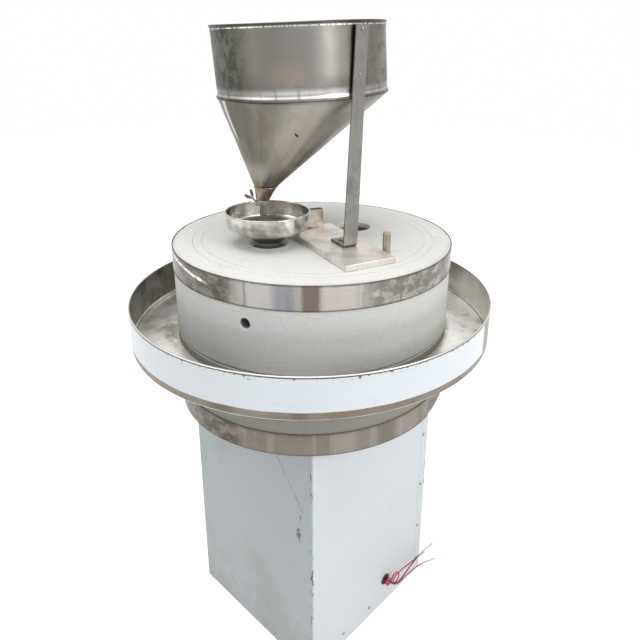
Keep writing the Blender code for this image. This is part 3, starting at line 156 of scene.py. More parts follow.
class Graph:
    """Node graph of one material that ends in a Principled shader."""

    def __init__(self, name: str) -> None:
        """Start an empty material.

        Args:
            name: the material's name.
        """
        self.material = bpy.data.materials.new(name)
        self.material.use_nodes = True
        self.tree = self.material.node_tree
        self.shader = self.tree.nodes["Principled BSDF"]
        self.made: dict[Any, Port] = {}
        self.place = Port(self, self.node("ShaderNodeTexCoord").outputs["Object"])
        split = self.node("ShaderNodeSeparateXYZ", {}, [self.place])
        self.x, self.y, self.z = (Port(self, out) for out in split.outputs)
        self.radius = (self.x * self.x + self.y * self.y).root()
        self.unit_x, self.unit_y, self.turn = self.x, self.y, self.z
        self.share = self.z

    def node(self, kind: str, settings: dict[str, Any] | None = None,
            values: Sequence[Any] | dict[Any, Any] | None = None) -> bpy.types.Node:
        """Add any node.

        Args:
            kind: the node's type.
            settings: properties set first.
            values: socket values or Ports, by order or by socket name.

        Returns:
            The new node.
        """
        made = self.tree.nodes.new(kind)
        for key, value in (settings or {}).items():
            setattr(made, key, value)
        pairs = values.items() if isinstance(values, dict) else enumerate(values or [])
        for key, value in pairs:
            self.feed(made.inputs[key], value)
        return made

    def feed(self, socket: bpy.types.NodeSocket, value: Any) -> None:
        """Link a Port to a socket, or set a plain value on it."""
        if isinstance(value, Port):
            self.tree.links.new(value.socket, socket)
        elif isinstance(value, tuple) and socket.type == "RGBA":
            socket.default_value = (*value, 1.0)
        else:
            socket.default_value = value

    def once(self, key: Any, make: Callable[[], Port]) -> Port:
        """Return what was made for a key, and make it the first time."""
        if key not in self.made:
            self.made[key] = make()
        return self.made[key]

    def mask(self, item: "Mask | Port") -> Port:
        """Return a mask as a Port of this graph."""
        return item if isinstance(item, Port) else self.once(item, lambda: item.on(self))

    def scaled(self, scale: Spot, shift: Spot) -> Port:
        """Object coordinates stretched by a scale and moved by a shift."""
        made = self.node("ShaderNodeMapping", {}, {"Vector": self.place, "Location": shift, "Scale": scale})
        return Port(self, made.outputs["Vector"])

    def _noise_on(self, where: Port, detail: float, rough: float) -> Port:
        """Noise from 0 to 1 on given coordinates."""
        made = self.node("ShaderNodeTexNoise", {},
            {"Vector": where, "Scale": 1.0, "Detail": detail, "Roughness": rough})
        return Port(self, made.outputs["Fac"])

    def noise(self, scale: Spot, detail: float = 3.0, rough: float = 0.55, shift: Spot = ORIGIN) -> Port:
        """Noise from 0 to 1 on the stretched object coordinates."""
        return self.once(("noise", scale, detail, rough, shift),
            lambda: self._noise_on(self.scaled(scale, shift), detail, rough))

    def streaks(self, scale: Point, detail: float = 2.0, rough: float = 0.5) -> Port:
        """Noise that follows the turn about the axis: its scale round the axis, and along the height."""
        return self.once(("streaks", scale, detail, rough),
            lambda: self._noise_on(self._wrapped(*scale), detail, rough))

    def _wrapped(self, around: float, along: float) -> Port:
        """Coordinates that follow the turn about the axis."""
        parts = [self.unit_x * around, self.unit_y * around, self.z * along]
        return Port(self, self.node("ShaderNodeCombineXYZ", {}, parts).outputs["Vector"])

    def cells(self, scale: float, shift: Spot = ORIGIN) -> Port:
        """Distance to the nearest scattered point on the stretched object coordinates."""
        made = self.node("ShaderNodeTexVoronoi", {},
            {"Vector": self.scaled((scale,) * 3, shift), "Scale": 1.0})
        return Port(self, made.outputs["Distance"])

    def look_round(self, centre_x: "Port | float" = 0.0, centre_y: "Port | float" = 0.0) -> None:
        """Take the unit direction and the azimuth in degrees from an upright axis."""
        run = self.x - centre_x
        rise = self.y - centre_y
        reach = (run * run + rise * rise).root()
        self.unit_x = run / reach
        self.unit_y = rise / reach
        self.turn = rise.angle_from(run) * math.degrees(1.0)

    def mix(self, share: "Port | float", first: "Port | Colour", second: "Port | Colour") -> Port:
        """Colour between two colours."""
        made = self.node("ShaderNodeMix", {"data_type": "RGBA"})
        colours = [socket for socket in made.inputs if socket.type == "RGBA"]
        self.feed(made.inputs[0], share)
        self.feed(colours[0], first)
        self.feed(colours[1], second)
        return Port(self, next(out for out in made.outputs if out.type == "RGBA"))

    def lay(self, under: "Port | Colour", *coats: "Coat") -> Port:
        """Lay coats of colour in order.

        Args:
            under: the colour below them.
            coats: the coats, lowest first.

        Returns:
            The colour that shows.
        """
        for coat in coats:
            cover = self.mask(coat.masks[0])
            for other in coat.masks[1:]:
                cover = cover * self.mask(other)
            tint = coat.tint.on(self) if isinstance(coat.tint, Blend) else coat.tint
            under = self.mix(cover * coat.cover_share, under, tint)
        return under

    def bump(self, height: Port, depth: float, strength: float = 1.0, under: "Port | None" = None) -> Port:
        """Bumped normal from a height of 0 to 1 that stands for a depth in metres."""
        values: dict[str, Any] = {"Height": height, "Distance": depth, "Strength": strength}
        if under is not None:
            values["Normal"] = under
        return Port(self, self.node("ShaderNodeBump", {}, values).outputs["Normal"])

    def finish(self, **values: Any) -> Material:
        """Feed the shader's sockets, named with underscores for spaces, and return the material."""
        for name, value in values.items():
            self.feed(self.shader.inputs[name.replace("_", " ")], value)
        return self.material


@dataclass(frozen=True)
class Mask:
    """Share from 0 to 1 over a surface: `none` and `full` are the values at which it is 0 and 1."""

    def on(self, graph: Graph) -> Port:
        """Return the mask in a material's graph."""
        raise NotImplementedError


@dataclass(frozen=True)
class Cloud(Mask):
    """Cloudy spots: noise of a scale on the three axes."""

    scale: Spot
    none: float
    full: float
    detail: float = 3.0
    rough: float = 0.55
    shift: Spot = ORIGIN

    def on(self, graph: Graph) -> Port:
        """Return the mask."""
        return graph.noise(self.scale, self.detail, self.rough, self.shift).rise(self.none, self.full)


@dataclass(frozen=True)
class Streaks(Mask):
    """Upright streaks: noise of a scale round the axis, and along the height."""

    scale: Point
    none: float
    full: float
    detail: float = 2.0
    rough: float = 0.5

    def on(self, graph: Graph) -> Port:
        """Return the mask."""
        return graph.streaks(self.scale, self.detail, self.rough).rise(self.none, self.full)


@dataclass(frozen=True)
class Specks(Mask):
    """Round specks scattered at a scale."""

    scale: float
    none: float
    full: float
    shift: Spot = ORIGIN

    def on(self, graph: Graph) -> Port:
        """Return the mask."""
        return graph.cells(self.scale, self.shift).rise(self.none, self.full)


@dataclass(frozen=True)
class Zone(Mask):
    """Stretch of azimuth about a middle; `none` and `full` are degrees to either side of it."""

    middle_deg: float
    none: float
    full: float

    def on(self, graph: Graph) -> Port:
        """Return the mask."""
        return abs(graph.turn - self.middle_deg).rise(self.none, self.full)


@dataclass(frozen=True)
class Level(Mask):
    """Heights beyond a level."""

    none: float
    full: float

    def on(self, graph: Graph) -> Port:
        """Return the mask."""
        return graph.z.rise(self.none, self.full)


@dataclass(frozen=True)
class Line(Mask):
    """Level line of a height and a reach to either side."""

    height: float
    reach: float

    def on(self, graph: Graph) -> Port:
        """Return the mask."""
        return graph.z.near(self.height, self.reach)


@dataclass(frozen=True)
class Reach(Mask):
    """Distances from the axis beyond a radius."""

    none: float
    full: float

    def on(self, graph: Graph) -> Port:
        """Return the mask."""
        return graph.radius.rise(self.none, self.full)


@dataclass(frozen=True)
class Hoop(Mask):
    """Circle of a radius, with a reach to either side."""

    middle: float
    reach: float

    def on(self, graph: Graph) -> Port:
        """Return the mask."""
        return graph.radius.near(self.middle, self.reach)


@dataclass(frozen=True)
class Down(Mask):
    """Shares of the way down a slope."""

    none: float
    full: float

    def on(self, graph: Graph) -> Port:
        """Return the mask."""
        return graph.share.rise(self.none, self.full)


@dataclass(frozen=True)
class Between(Mask):
    """Another mask, held between a least and a most share."""

    mask: Mask
    least_share: float
    most_share: float = 1.0

    def on(self, graph: Graph) -> Port:
        """Return the mask."""
        return graph.mask(self.mask) * (self.most_share - self.least_share) + self.least_share


@dataclass(frozen=True)
class Either(Mask):
    """The larger of two masks."""

    first: Mask
    second: Mask

    def on(self, graph: Graph) -> Port:
        """Return the mask."""
        return graph.mask(self.first) | graph.mask(self.second)


@dataclass(frozen=True)
class Blend:
    """Colour between two colours by a mask."""

    first: Colour
    second: Colour
    mask: Mask

    def on(self, graph: Graph) -> Port:
        """Return the colour in a material's graph."""
        return graph.mix(graph.mask(self.mask), self.first, self.second)


class Coat:
    """Colour over what is below it, where all its masks meet."""

    def __init__(self, tint: "Colour | Blend", cover_share: float, *masks: "Mask | Port") -> None:
        """Note the coat.

        Args:
            tint: its colour.
            cover_share: share of what is below that it hides at most.
            masks: the masks, which are multiplied.
        """
        self.tint = tint
        self.cover_share = cover_share
        self.masks = masks


@dataclass(frozen=True)
class Steel:
    """Brushed or rolled sheet steel with stains and fine streaks.

    Args:
        grain: scale of the brushing on the three object axes.
    """

    name: str
    base: Colour
    deep: Colour
    warm: Colour
    grain: Spot
    blotch: float = 14.0
    stain_share: float = 0.7
    rough: float = 0.32
    scratch: float = 0.00004
    brush_share: float = 0.35
    streak_rough: float = 0.14
    stain_rough: float = 0.16

    def start(self) -> tuple[Graph, Port, Port, Port, Port]:
        """Return the graph with its brushing, stains, colour and roughness so far."""
        graph = Graph(self.name)
        spread = (self.blotch,) * 3
        half_spread = (self.blotch / 2,) * 3
        coarse = tuple(value / 7 for value in self.grain)
        streak = graph.noise(self.grain, 2.0, 0.6)
        stain = graph.noise(spread, 5.0, 0.6)
        broad = Cloud(coarse, 0.4, 0.7, 2.0, 0.5, (3.1, 1.7, 0.4)).on(graph)
        lines = streak.rise(0.35, 0.75) * self.brush_share + broad * (self.brush_share / 2)
        colour = graph.lay(
            self.base,
            Coat(self.warm, 1.0, Cloud(half_spread, 0.4, 0.65, 3.0, 0.5, (5.0, 2.0, 8.0))),
            Coat(self.deep, self.stain_share, stain.rise(0.45, 0.72)),
            Coat(self.deep, 1.0, lines))
        middle = (self.streak_rough + self.stain_rough) / 2
        rough = streak * self.streak_rough + stain * self.stain_rough + (self.rough - middle)
        graph.look_round()
        return graph, streak, stain, colour, rough

    def dented(self, graph: Graph, grain: Port, dent: Port, depth: float) -> Port:
        """Return a normal with fine brushing over shallow dents."""
        return graph.bump(grain, self.scratch, 1.0, graph.bump(dent, depth, 0.5))

    def make(self) -> Material:
        """Return the plain form of this steel."""
        graph, streak, _, colour, rough = self.start()
        return graph.finish(Base_Color=colour, Metallic=1.0, Roughness=rough,
            Normal=graph.bump(streak, self.scratch))


@dataclass(frozen=True)
class DrumSteel(Steel):
    """Steel of the hopper's drum: upright painted reflection streaks, painted shade with dark mottled
    patches on one side, a painted highlight on the other, and a painted highlight along the pressed line.

    Args:
        stripe: height of the middle of the pressed line, from the rim.
    """

    stripe: float = -0.1290
    # Zones of azimuth: painted shade with dark mottled patches, then a painted highlight.
    mottled_shade: Zone = Zone(-128.0, 74.0, 46.0)
    painted_highlight: Zone = Zone(-22.0, 44.0, 6.0)
    mottle: Spot = (48.0, 48.0, 34.0)
    dent_depth: float = 0.004

    def make(self) -> Material:
        """Return the drum's steel."""
        graph, streak, _, colour, rough = self.start()
        mottle = graph.noise(self.mottle, 6.0, 0.7, (2.0, 0.0, 1.0))
        # Masks of the painted highlight on the pressed line: upright streaks that break it, and the line
        # itself.
        worn = Between(Streaks((14.0, 0.0), 0.36, 0.50, 3.0, 0.6), 0.5)
        stripe_highlight = Either(Line(self.stripe, 0.0042), Between(Line(self.stripe + 0.007, 0.011), 0.0, 0.35))
        foul = Either(Zone(50.0, 34.0, 16.0), Between(Level(-0.085, -0.125), 0.0, 0.5))
        patches = Blend((0.034, 0.036, 0.028), (0.135, 0.137, 0.115),
            Cloud(self.mottle, 0.42, 0.62, 6.0, 0.7, (2.0, 0.0, 1.0)))
        colour = graph.lay(
            colour,
            # painted reflection: upright light streaks
            Coat((0.30, 0.29, 0.26), 0.16, Streaks((3.4, 2.0), 0.44, 0.62)),
            # painted shade on the side turned from the light
            Coat((0.052, 0.049, 0.042), 0.72, Zone(-62.0, 62.0, 26.0)),
            # painted reflection: upright dark streaks
            Coat((0.11, 0.105, 0.09), 0.55, Streaks((3.4, 2.0), 0.46, 0.32)),
            # painted shade over the far side, mottled with darker patches
            Coat(patches, 0.9, self.mottled_shade),
            # painted highlight, a broad upright band
            Coat((0.34, 0.33, 0.31), 0.55, self.painted_highlight),
            # painted shade behind the post, which stands off the drum
            Coat((0.10, 0.095, 0.08), 0.75, Zone(6.0, 17.0, 6.0)),
            Coat((0.06, 0.06, 0.05), 0.7, Cloud((30.0,) * 3, 0.47, 0.62, 6.0, 0.7, (0.0, 9.0, 0.0)), foul),
            # painted reflection: a brownish pink patch half way down
            Coat((0.36, 0.25, 0.20), 0.45, Zone(-33.0, 15.0, 3.0), Line(-0.088, 0.034)),
            # painted highlight along the pressed line, strongest in the highlight zone
            Coat((0.97, 0.96, 0.95), 1.0, stripe_highlight, Between(self.painted_highlight, 0.4), worn),
            Coat((0.07, 0.065, 0.055), 0.7, Line(self.stripe - 0.0046, 0.0010)),
            Coat((0.045, 0.042, 0.038), 0.85, Level(-0.0062, -0.0030)),
            # painted highlight: a bright broken line just below the rolled rim
            Coat((0.86, 0.85, 0.82), 0.9, Line(-0.0072, 0.0017),
                Streaks((44.0, 0.0), 0.42, 0.52, 3.0, 0.6)))
        normal = self.dented(graph, streak, graph.streaks((2.4, 7.0), 1.0, 0.4), self.dent_depth)
        rough = rough + mottle * graph.mask(self.mottled_shade) * 0.12
        return graph.finish(Base_Color=colour, Metallic=1.0, Roughness=rough, Normal=normal)


@dataclass(frozen=True)
class ConeSteel(Steel):
    """Steel of the slanting cone: upright painted reflection streaks down its slope, painted shade and
    painted highlight zones round it, a crescent dent drawn only as a painted highlight beside painted
    shade, and a nick.

    Args:
        nick_slant: degrees by which the nick turns over the whole slope.
    """

    top: Spot = (-0.0358, -0.0079, 1.2508)
    foot: Spot = (0.0026, -0.1129, 1.069)
    dent_deg: float = -87.0
    dent_bend: float = 60.0
    nick_deg: float = -18.0
    nick_share: float = 0.38
    nick_slant: float = 110.0
    dent_depth: float = 0.005

    def make(self) -> Material:
        """Return the cone's steel."""
        graph, _, _, colour, rough = self.start()
        share = (self.top[2] - graph.z) / (self.top[2] - self.foot[2])
        graph.share = share
        graph.look_round(*(share * (low - high) + high for low, high in zip(self.foot[:2], self.top[:2])))
        spots = ((22.0, 22.0, 14.0), 5.0, 0.6, (0.0, 0.0, 6.0))
        stains = graph.noise(*spots)
        bend = graph.turn - self.dent_deg - share * (share - 0.5) * self.dent_bend
        across = abs(graph.turn - self.nick_deg - (share - self.nick_share) * self.nick_slant) / 1.6
        nick = (across + abs(share - self.nick_share) / 0.028).rise(1.2, 0.7)
        within = (Down(0.01, 0.08), Down(0.50, 0.40))
        fine = graph.streaks((24.0, 5.0), 4.0, 0.65)
        colour = graph.lay(
            colour,
            # painted reflection: upright light streaks, then dark ones
            Coat((0.30, 0.29, 0.25), 0.35, Streaks((4.6, 2.5), 0.44, 0.66)),
            Coat((0.13, 0.12, 0.095), 0.45, Streaks((4.6, 2.5), 0.46, 0.30)),
            # painted shade on the side turned from the light
            Coat((0.06, 0.056, 0.046), 0.6, Zone(-68.0, 44.0, 18.0)),
            # painted highlight: a broad upright band, and the lower part of the slope
            Coat((0.43, 0.405, 0.35), 0.6, Either(Zone(-10.0, 32.0, 10.0),
                Between(Down(0.62, 0.85), 0.0, 0.8))),
            Coat((0.17, 0.155, 0.125), 0.3, fine.rise(0.50, 0.78)),
            Coat((0.20, 0.185, 0.15), 0.45, stains.rise(0.48, 0.66)),
            # painted shade in a second zone round the cone
            Coat((0.085, 0.075, 0.058), 0.85, Zone(-120.0, 32.0, 14.0)),
            # the crescent dent, drawn as painted shade beside a painted highlight
            Coat((0.085, 0.078, 0.062), 0.8, abs(bend - 2.0).rise(11.0, 6.0), *within),
            Coat((0.66, 0.64, 0.58), 0.85, abs(bend).rise(3.4, 1.4), *within),
            Coat((0.03, 0.028, 0.022), 1.0, nick),
            Coat((0.13, 0.105, 0.075), 0.6, Down(0.74, 0.96), stains.rise(0.42, 0.60)),
            Coat((0.11, 0.07, 0.035), 0.75, abs(graph.z - self.foot[2]).rise(0.009, 0.001)),
            Coat((0.10, 0.095, 0.08), 0.6, Down(0.035, 0.0)))
        normal = self.dented(graph, fine, graph.streaks((3.0, 8.0), 1.0, 0.4), self.dent_depth)
        return graph.finish(Base_Color=colour, Metallic=1.0, Roughness=rough, Normal=normal)


@dataclass(frozen=True)
class BandSteel(Steel):
    """Rolled strap round a stone: upright painted reflection streaks, a painted highlight edged by bands of
    painted reflection, painted shade with dark mottled patches on one side, dark mottled patches of painted
    reflection beside the highlight, a lapped joint, ragged edges.

    Args:
        smear_share: share of the stone dust smeared over the end with painted shade.
        smear_slope: metres by which the smear falls for each degree.
        smear_drop: how far the smear starts below the upper edge.
    """

    low: float = 0.9
    high: float = 0.95
    lap_deg: float = -110.0
    shade_deg: float = -112.0
    highlight_deg: float = -35.0
    smear_share: float = 0.0
    zone_share: float = 1.0
    smear_slope: float = -0.0006
    smear_drop: float = 0.006
    dent_depth: float = 0.003

    def _edge(self, graph: Graph) -> Port:
        """Return the mask of the worn lower edge and the ragged upper one."""
        ragged = graph.noise((60.0,) * 3, 4.0, 0.6) * 0.006
        return (graph.z - self.low).rise(0.0045, 0.001) | (graph.z + ragged).rise(self.high - 0.002,
            self.high + 0.002)

    def _dust(self, graph: Graph) -> Port:
        """Return the mask of the smear of stone dust, which runs down along the strap."""
        path = (graph.turn - self.shade_deg) * self.smear_slope + (self.high - self.smear_drop)
        spread = graph.noise((70.0, 70.0, 110.0), 4.0, 0.7)
        return abs(graph.z + spread * 0.012 - 0.006 - path).rise(0.0042, 0.0012) * spread.rise(0.42, 0.5)

    def make(self) -> Material:
        """Return the strap's steel."""
        graph, streak, stain, colour, rough = self.start()
        edge = self._edge(graph)
        band_mottle = ((34.0, 34.0, 50.0), 5.0, 0.65, (0.0, 0.0, 3.0))
        band_mottle_noise = graph.noise(*band_mottle)
        # colour of the painted shade, mottled darker and lighter
        dark = Blend((0.062, 0.055, 0.045), (0.165, 0.15, 0.13),
            Cloud(band_mottle[0], 0.42, 0.62, *band_mottle[1:]))
        zone, painted_highlight = self.zone_share, self.highlight_deg
        colour = graph.lay(
            colour,
            # painted reflection: upright light streaks, then dark ones
            Coat((0.45, 0.435, 0.415), zone * 0.45, Streaks((7.5, 1.5), 0.50, 0.57, 3.0, 0.6)),
            Coat((0.15, 0.13, 0.11), zone * 0.7, Streaks((7.5, 1.5), 0.44, 0.37, 3.0, 0.6)),
            # painted shade on the side turned from the light
            Coat(dark, 0.9, Zone(self.shade_deg, 44.0, 34.0)),
            # painted reflection: dark mottled patches beside the painted highlight
            Coat((0.13, 0.12, 0.105), 0.8, Zone(painted_highlight + 42.0, 36.0, 28.0), band_mottle_noise.rise(0.40, 0.56)),
            # painted highlight, then thin bands of painted reflection: brown, blue and bright
            Coat((0.42, 0.39, 0.36), zone * 0.8, Zone(painted_highlight, 8.0, 4.0)),
            Coat((0.115, 0.078, 0.062), zone * 0.8, Zone(painted_highlight - 10.0, 4.0, 2.0)),
            Coat((0.20, 0.215, 0.245), zone * 0.7, Zone(painted_highlight - 19.0, 5.0, 2.0)),
            Coat((0.42, 0.41, 0.39), zone * 0.7, Zone(painted_highlight - 28.0, 6.0, 3.0)),
            Coat((0.09, 0.075, 0.06), 0.7, edge),
            Coat((0.12, 0.11, 0.10), 0.6, Zone(self.lap_deg, 0.35, 0.1)),
            Coat((0.80, 0.79, 0.75), self.smear_share, self._dust(graph),
                Zone(self.shade_deg + 12.0, 17.0, 11.0)),
            Coat((0.11, 0.09, 0.07), 0.8, stain.rise(0.58, 0.72), (graph.z - self.low).rise(0.02, 0.0)))
        normal = self.dented(graph, streak, graph.noise((5.0, 5.0, 12.0), 2.0, 0.5), self.dent_depth)
        return graph.finish(Base_Color=colour, Metallic=1.0, Roughness=rough + edge * 0.2, Normal=normal)


@dataclass(frozen=True)
class TraySteel(Steel):
    """Steel of the tray: mottled wall with broad upright zones of painted reflection, painted light on one
    side and painted shade on the other; bright floor with painted sheen, painted highlights along its
    creases, dust, and painted shade where it meets the wall; painted highlight on the hem's top and painted
    shade under it; browned outside.

    Args:
        floor: height below which a face belongs to the floor.
    """

    wall: float = 0.3924
    floor: float = 0.7535
    rim: float = 0.828
    stone: float = 0.2985
    # azimuths where the inner wall gets painted light; elsewhere it gets painted shade
    lit_wall: Zone = Zone(45.0, 75.0, 35.0)
    dent_depth: float = 0.006

    def make(self) -> Material:
        """Return the tray's steel."""
        graph, streak, _, colour, rough = self.start()
        patches = graph.noise((26.0,) * 3, 5.0, 0.65, (1.0, 0.0, 0.0))
        ridge = abs(graph.noise((11.0,) * 3, 2.0, 0.5, (0.0, 3.0, 0.0)) - 0.5)
        sheen = graph.noise((9.0,) * 3, 4.0, 0.6, (0.0, 4.0, 0.0))
        floor = Level(self.floor, self.floor - 0.002)
        outside = Either(Reach(self.wall, self.wall + 0.0006),
            Level(self.floor - 0.010, self.floor - 0.012))
        lit_wall = graph.mask(self.lit_wall)
        dust = graph.mask(Reach(self.stone + 0.012, self.stone + 0.002)) * patches.rise(0.35, 0.5)
        few = Cloud((5.0,) * 3, 0.48, 0.60, 2.0, 0.5, (9.0, 0.0, 0.0))
        wall = graph.lay(
            # painted reflection: broad upright light and dark zones round the wall
            Blend((0.085, 0.08, 0.062), (0.58, 0.56, 0.50),
                Streaks((4.0, 10.0), 0.42, 0.56, 3.0, 0.6)).on(graph),
            Coat((0.20, 0.19, 0.16), 0.5, patches.rise(0.50, 0.60)),
            # painted light on the lit part of the wall, painted shade on the rest
            Coat((0.74, 0.715, 0.65), 0.75, lit_wall),
            Coat((0.045, 0.042, 0.032), 0.75, 1.0 - lit_wall))
        base = graph.lay(
            graph.mix(patches.rise(0.42, 0.60), (0.78, 0.765, 0.71), (0.52, 0.505, 0.45)),
            # painted sheen on the floor: light patches, then dark ones
            Coat((0.96, 0.955, 0.93), 0.8, sheen.rise(0.44, 0.56)),
            Coat((0.24, 0.225, 0.185), 0.7, sheen.rise(0.42, 0.34)),
            # painted highlights along some of the creases
            Coat((0.85, 0.84, 0.80), 0.8, ridge.rise(0.012, 0.003), few),
            Coat((0.72, 0.70, 0.64), 0.7, patches.rise(0.60, 0.66)),
            Coat((0.56, 0.53, 0.42), 0.8, dust),
            # painted shade in the corner where the floor meets the wall
            Coat((0.08, 0.07, 0.05), 0.8, Hoop(self.wall - 0.003, 0.0026), floor))
        inside = graph.mix(graph.mask(floor), wall, base)
        colour = graph.lay(
            graph.mix(graph.mask(outside), inside, colour),
            # painted highlight on the hem's top, and painted shade just under it
            Coat((0.80, 0.79, 0.75), 0.8, Level(self.rim - 0.0024, self.rim - 0.0012)),
            Coat((0.07, 0.06, 0.05), 0.8, Line(self.rim - 0.0034, 0.0011), patches.rise(0.40, 0.48)))
        normal = self.dented(graph, streak, ridge, self.dent_depth)
        metal = 1.0 - dust * graph.mask(floor) * 0.8
        return graph.finish(Base_Color=colour, Metallic=metal, Roughness=rough, Normal=normal)


@dataclass(frozen=True)
class Granite:
    """Dressed pale stone with fine speckle, pores, tool marks and painted shade in its holes.

    Args:
        arcs: radii and reaches of the rubbed arcs on the top.
        dusty: radii between which dust gathers towards the band.
        bore: radii between which painted shade comes in on faces more than a centimetre below the top,
            which darkens the insides of the holes.
    """

    name: str
    face: Colour
    side: Colour
    low_side: Colour
    top: float
    step: float
    arcs: tuple[Point, ...] = ((0.2585, 0.0012), (0.2405, 0.0012), (0.163, 0.0010))
    dusty: Point = (0.285, 0.297)
    bore: Point = (0.2968, 0.2940)

    def make(self) -> Material:
        """Return the stone."""
        graph = Graph(self.name)
        up = Level(self.top - 0.004, self.top - 0.0015)
        cloud = graph.noise((9.0,) * 3, 5.0, 0.6)
        grain = graph.noise((420.0,) * 3, 4.0, 0.7)
        strips = graph.noise((1.4, 1.4, 190.0), 3.0, 0.6)
        pores = graph.mask(Specks(140.0, 0.16, 0.05))
        lower = (graph.z + cloud * 0.010).rise(self.step + 0.018, self.step - 0.006)
        side = graph.lay(
            self.side,
            Coat(self.low_side, 1.0, lower),
            Coat(self.low_side, 0.18, strips.rise(0.45, 0.7)))
        rings = [Hoop(*arc) for arc in self.arcs]
        arcs = Either(Either(rings[0], rings[1]), rings[2])
        colour = graph.lay(
            graph.mix(graph.mask(up), side, self.face),
            Coat((0.52, 0.52, 0.49), 0.18, cloud.rise(0.5, 0.75)),
            Coat((0.30, 0.30, 0.29), 0.32, grain.rise(0.50, 0.66)),
            Coat((0.92, 0.92, 0.90), 0.38, Specks(330.0, 0.22, 0.05)),
            Coat((0.22, 0.22, 0.21), 0.5, pores),
            Coat((0.36, 0.35, 0.33), 0.7, arcs, Cloud((6.0, 6.0, 1.0), 0.36, 0.50, 3.0, 0.6,
                (7.0, 0.0, 0.0)), up),
            Coat((0.50, 0.50, 0.48), 0.30, Streaks((9.0, 0.0), 0.56, 0.68, 5.0, 0.7), up),
            Coat((0.50, 0.47, 0.41), 0.35, Reach(*self.dusty), up, cloud.rise(0.35, 0.65)),
            # painted shade on faces inward of the edge and deep below the top: inside the eyes, the lifting
            # hole, the socket, and under the stone
            Coat((0.10, 0.10, 0.095), 0.8, Reach(*self.bore), Level(self.top - 0.010, self.top - 0.012)))
        bump = None
        for height, depth, strength in ((grain, 0.0005, 0.6), (cloud, 0.004, 0.35),
                (1.0 - pores, 0.0006, 0.6), (strips, 0.0006, 0.5)):
            bump = graph.bump(height, depth, strength, bump)
        return graph.finish(Base_Color=colour, Roughness=0.86 + grain * 0.08, Normal=bump)


@dataclass(frozen=True)
class PanelPaint:
    """Pale paint on folded sheet: faint waves, painted shade over the -Y panel, specks, scuffs, and chips
    on the folds.

    Args:
        scratch_from: X and Z where the long scratch of the -Y panel starts.
    """

    name: str
    base: Colour
    half: float
    top: float
    scratch_from: Point = (0.0956, 0.532)
    scratch_to: Point = (0.1740, 0.434)
    blot: Point = (0.1595, 0.372)
    second_blot: Point = (0.166, 0.415)

    def make(self) -> Material:
        """Return the paint."""
        graph = Graph(self.name)
        cloud = graph.noise((12.0, 12.0, 7.0), 6.0, 0.65)
        smoke = Cloud((5.0, 5.0, 4.0), 0.46, 0.66, 5.0, 0.62, (2.0, 7.0, 1.0))
        rare = Cloud((16.0,) * 3, 0.50, 0.62, 2.0, 0.5, (4.0, 4.0, 0.0))
        streaky = Cloud((26.0, 26.0, 20.0), 0.46, 0.60, 6.0, 0.7, (0.0, 0.0, 5.0))
        front = (graph.y + self.half).rise(0.004, 0.001)
        fold = ((self.half - abs(graph.x)) + (self.half - abs(graph.y))).rise(0.0065, 0.003)
        chips = fold * graph.mask(Cloud((90.0, 90.0, 34.0), 0.54, 0.58, 5.0, 0.7))
        marks = self._scratches(graph) * front
        colour = graph.lay(
            self.base,
            Coat((0.66, 0.72, 0.73), 0.3, cloud.rise(0.4, 0.7)),
            # painted shade over the whole -Y panel, which is turned from the light
            Coat((0.33, 0.37, 0.375), 0.72, front),
            Coat((0.32, 0.33, 0.29), 1.0, smoke, front * 0.28 + 0.05),
            Coat((0.32, 0.31, 0.25), 0.28, Level(0.30, 0.02), front, streaky),
            Coat((0.22, 0.22, 0.19), 0.8, Specks(60.0, 0.10, 0.05, (3.0, 1.0, 0.0)), front, smoke),
            Coat((0.20, 0.20, 0.18), 0.8, Specks(95.0, 0.085, 0.045), rare),
            Coat((0.48, 0.49, 0.46), 0.25, Level(self.top - 0.10, self.top), cloud.rise(0.42, 0.62)),
            Coat((0.035, 0.032, 0.028), 1.0, chips),
            Coat((0.45, 0.47, 0.47), 0.45, fold, Cloud((30.0, 30.0, 9.0), 0.40, 0.6, 3.0, 0.6,
                (0.0, 3.0, 0.0))),
            Coat((0.07, 0.07, 0.065), 0.9, marks))
        normal = graph.bump(graph.noise((3.0, 3.0, 2.0), 2.0, 0.5), 0.004, 0.35)
        normal = graph.bump(1.0 - (chips | marks), 0.0003, 0.8, normal)
        return graph.finish(Base_Color=colour, Roughness=0.42 + cloud * 0.14 + chips * 0.2,
            Coat_Weight=0.15, Coat_Roughness=0.2, Normal=normal)

    def _scratches(self, graph: Graph) -> Port:
        """Return the mask of the long scratch and the blots, through both panels."""
        share = (graph.z - self.scratch_from[1]) / (self.scratch_to[1] - self.scratch_from[1])
        middle = share * (self.scratch_to[0] - self.scratch_from[0]) + self.scratch_from[0]
        line = abs(graph.x - middle).rise(0.0015, 0.0006) * share.rise(-0.02, 0.0) * share.rise(1.02, 1.0)
        ragged = graph.mask(Cloud((60.0,) * 3, 0.40, 0.52, 3.0, 0.6))
        dense = graph.mask(Cloud((90.0, 90.0, 60.0), 0.36, 0.42, 3.0, 0.6))
        drift = (graph.noise((85.0,) * 3, 3.0, 0.6, (6.0, 0.0, 0.0)) - 0.5) * 0.026
        blot = abs(graph.x - self.blot[0] + drift) / 0.0062 + abs(graph.z - self.blot[1]) / 0.022
        second = abs(graph.x - self.second_blot[0]) / 0.003 + abs(graph.z - self.second_blot[1]) / 0.012
        return line * ragged | blot.rise(1.15, 0.9) * dense | second.rise(1.2, 0.7) * ragged * 0.8


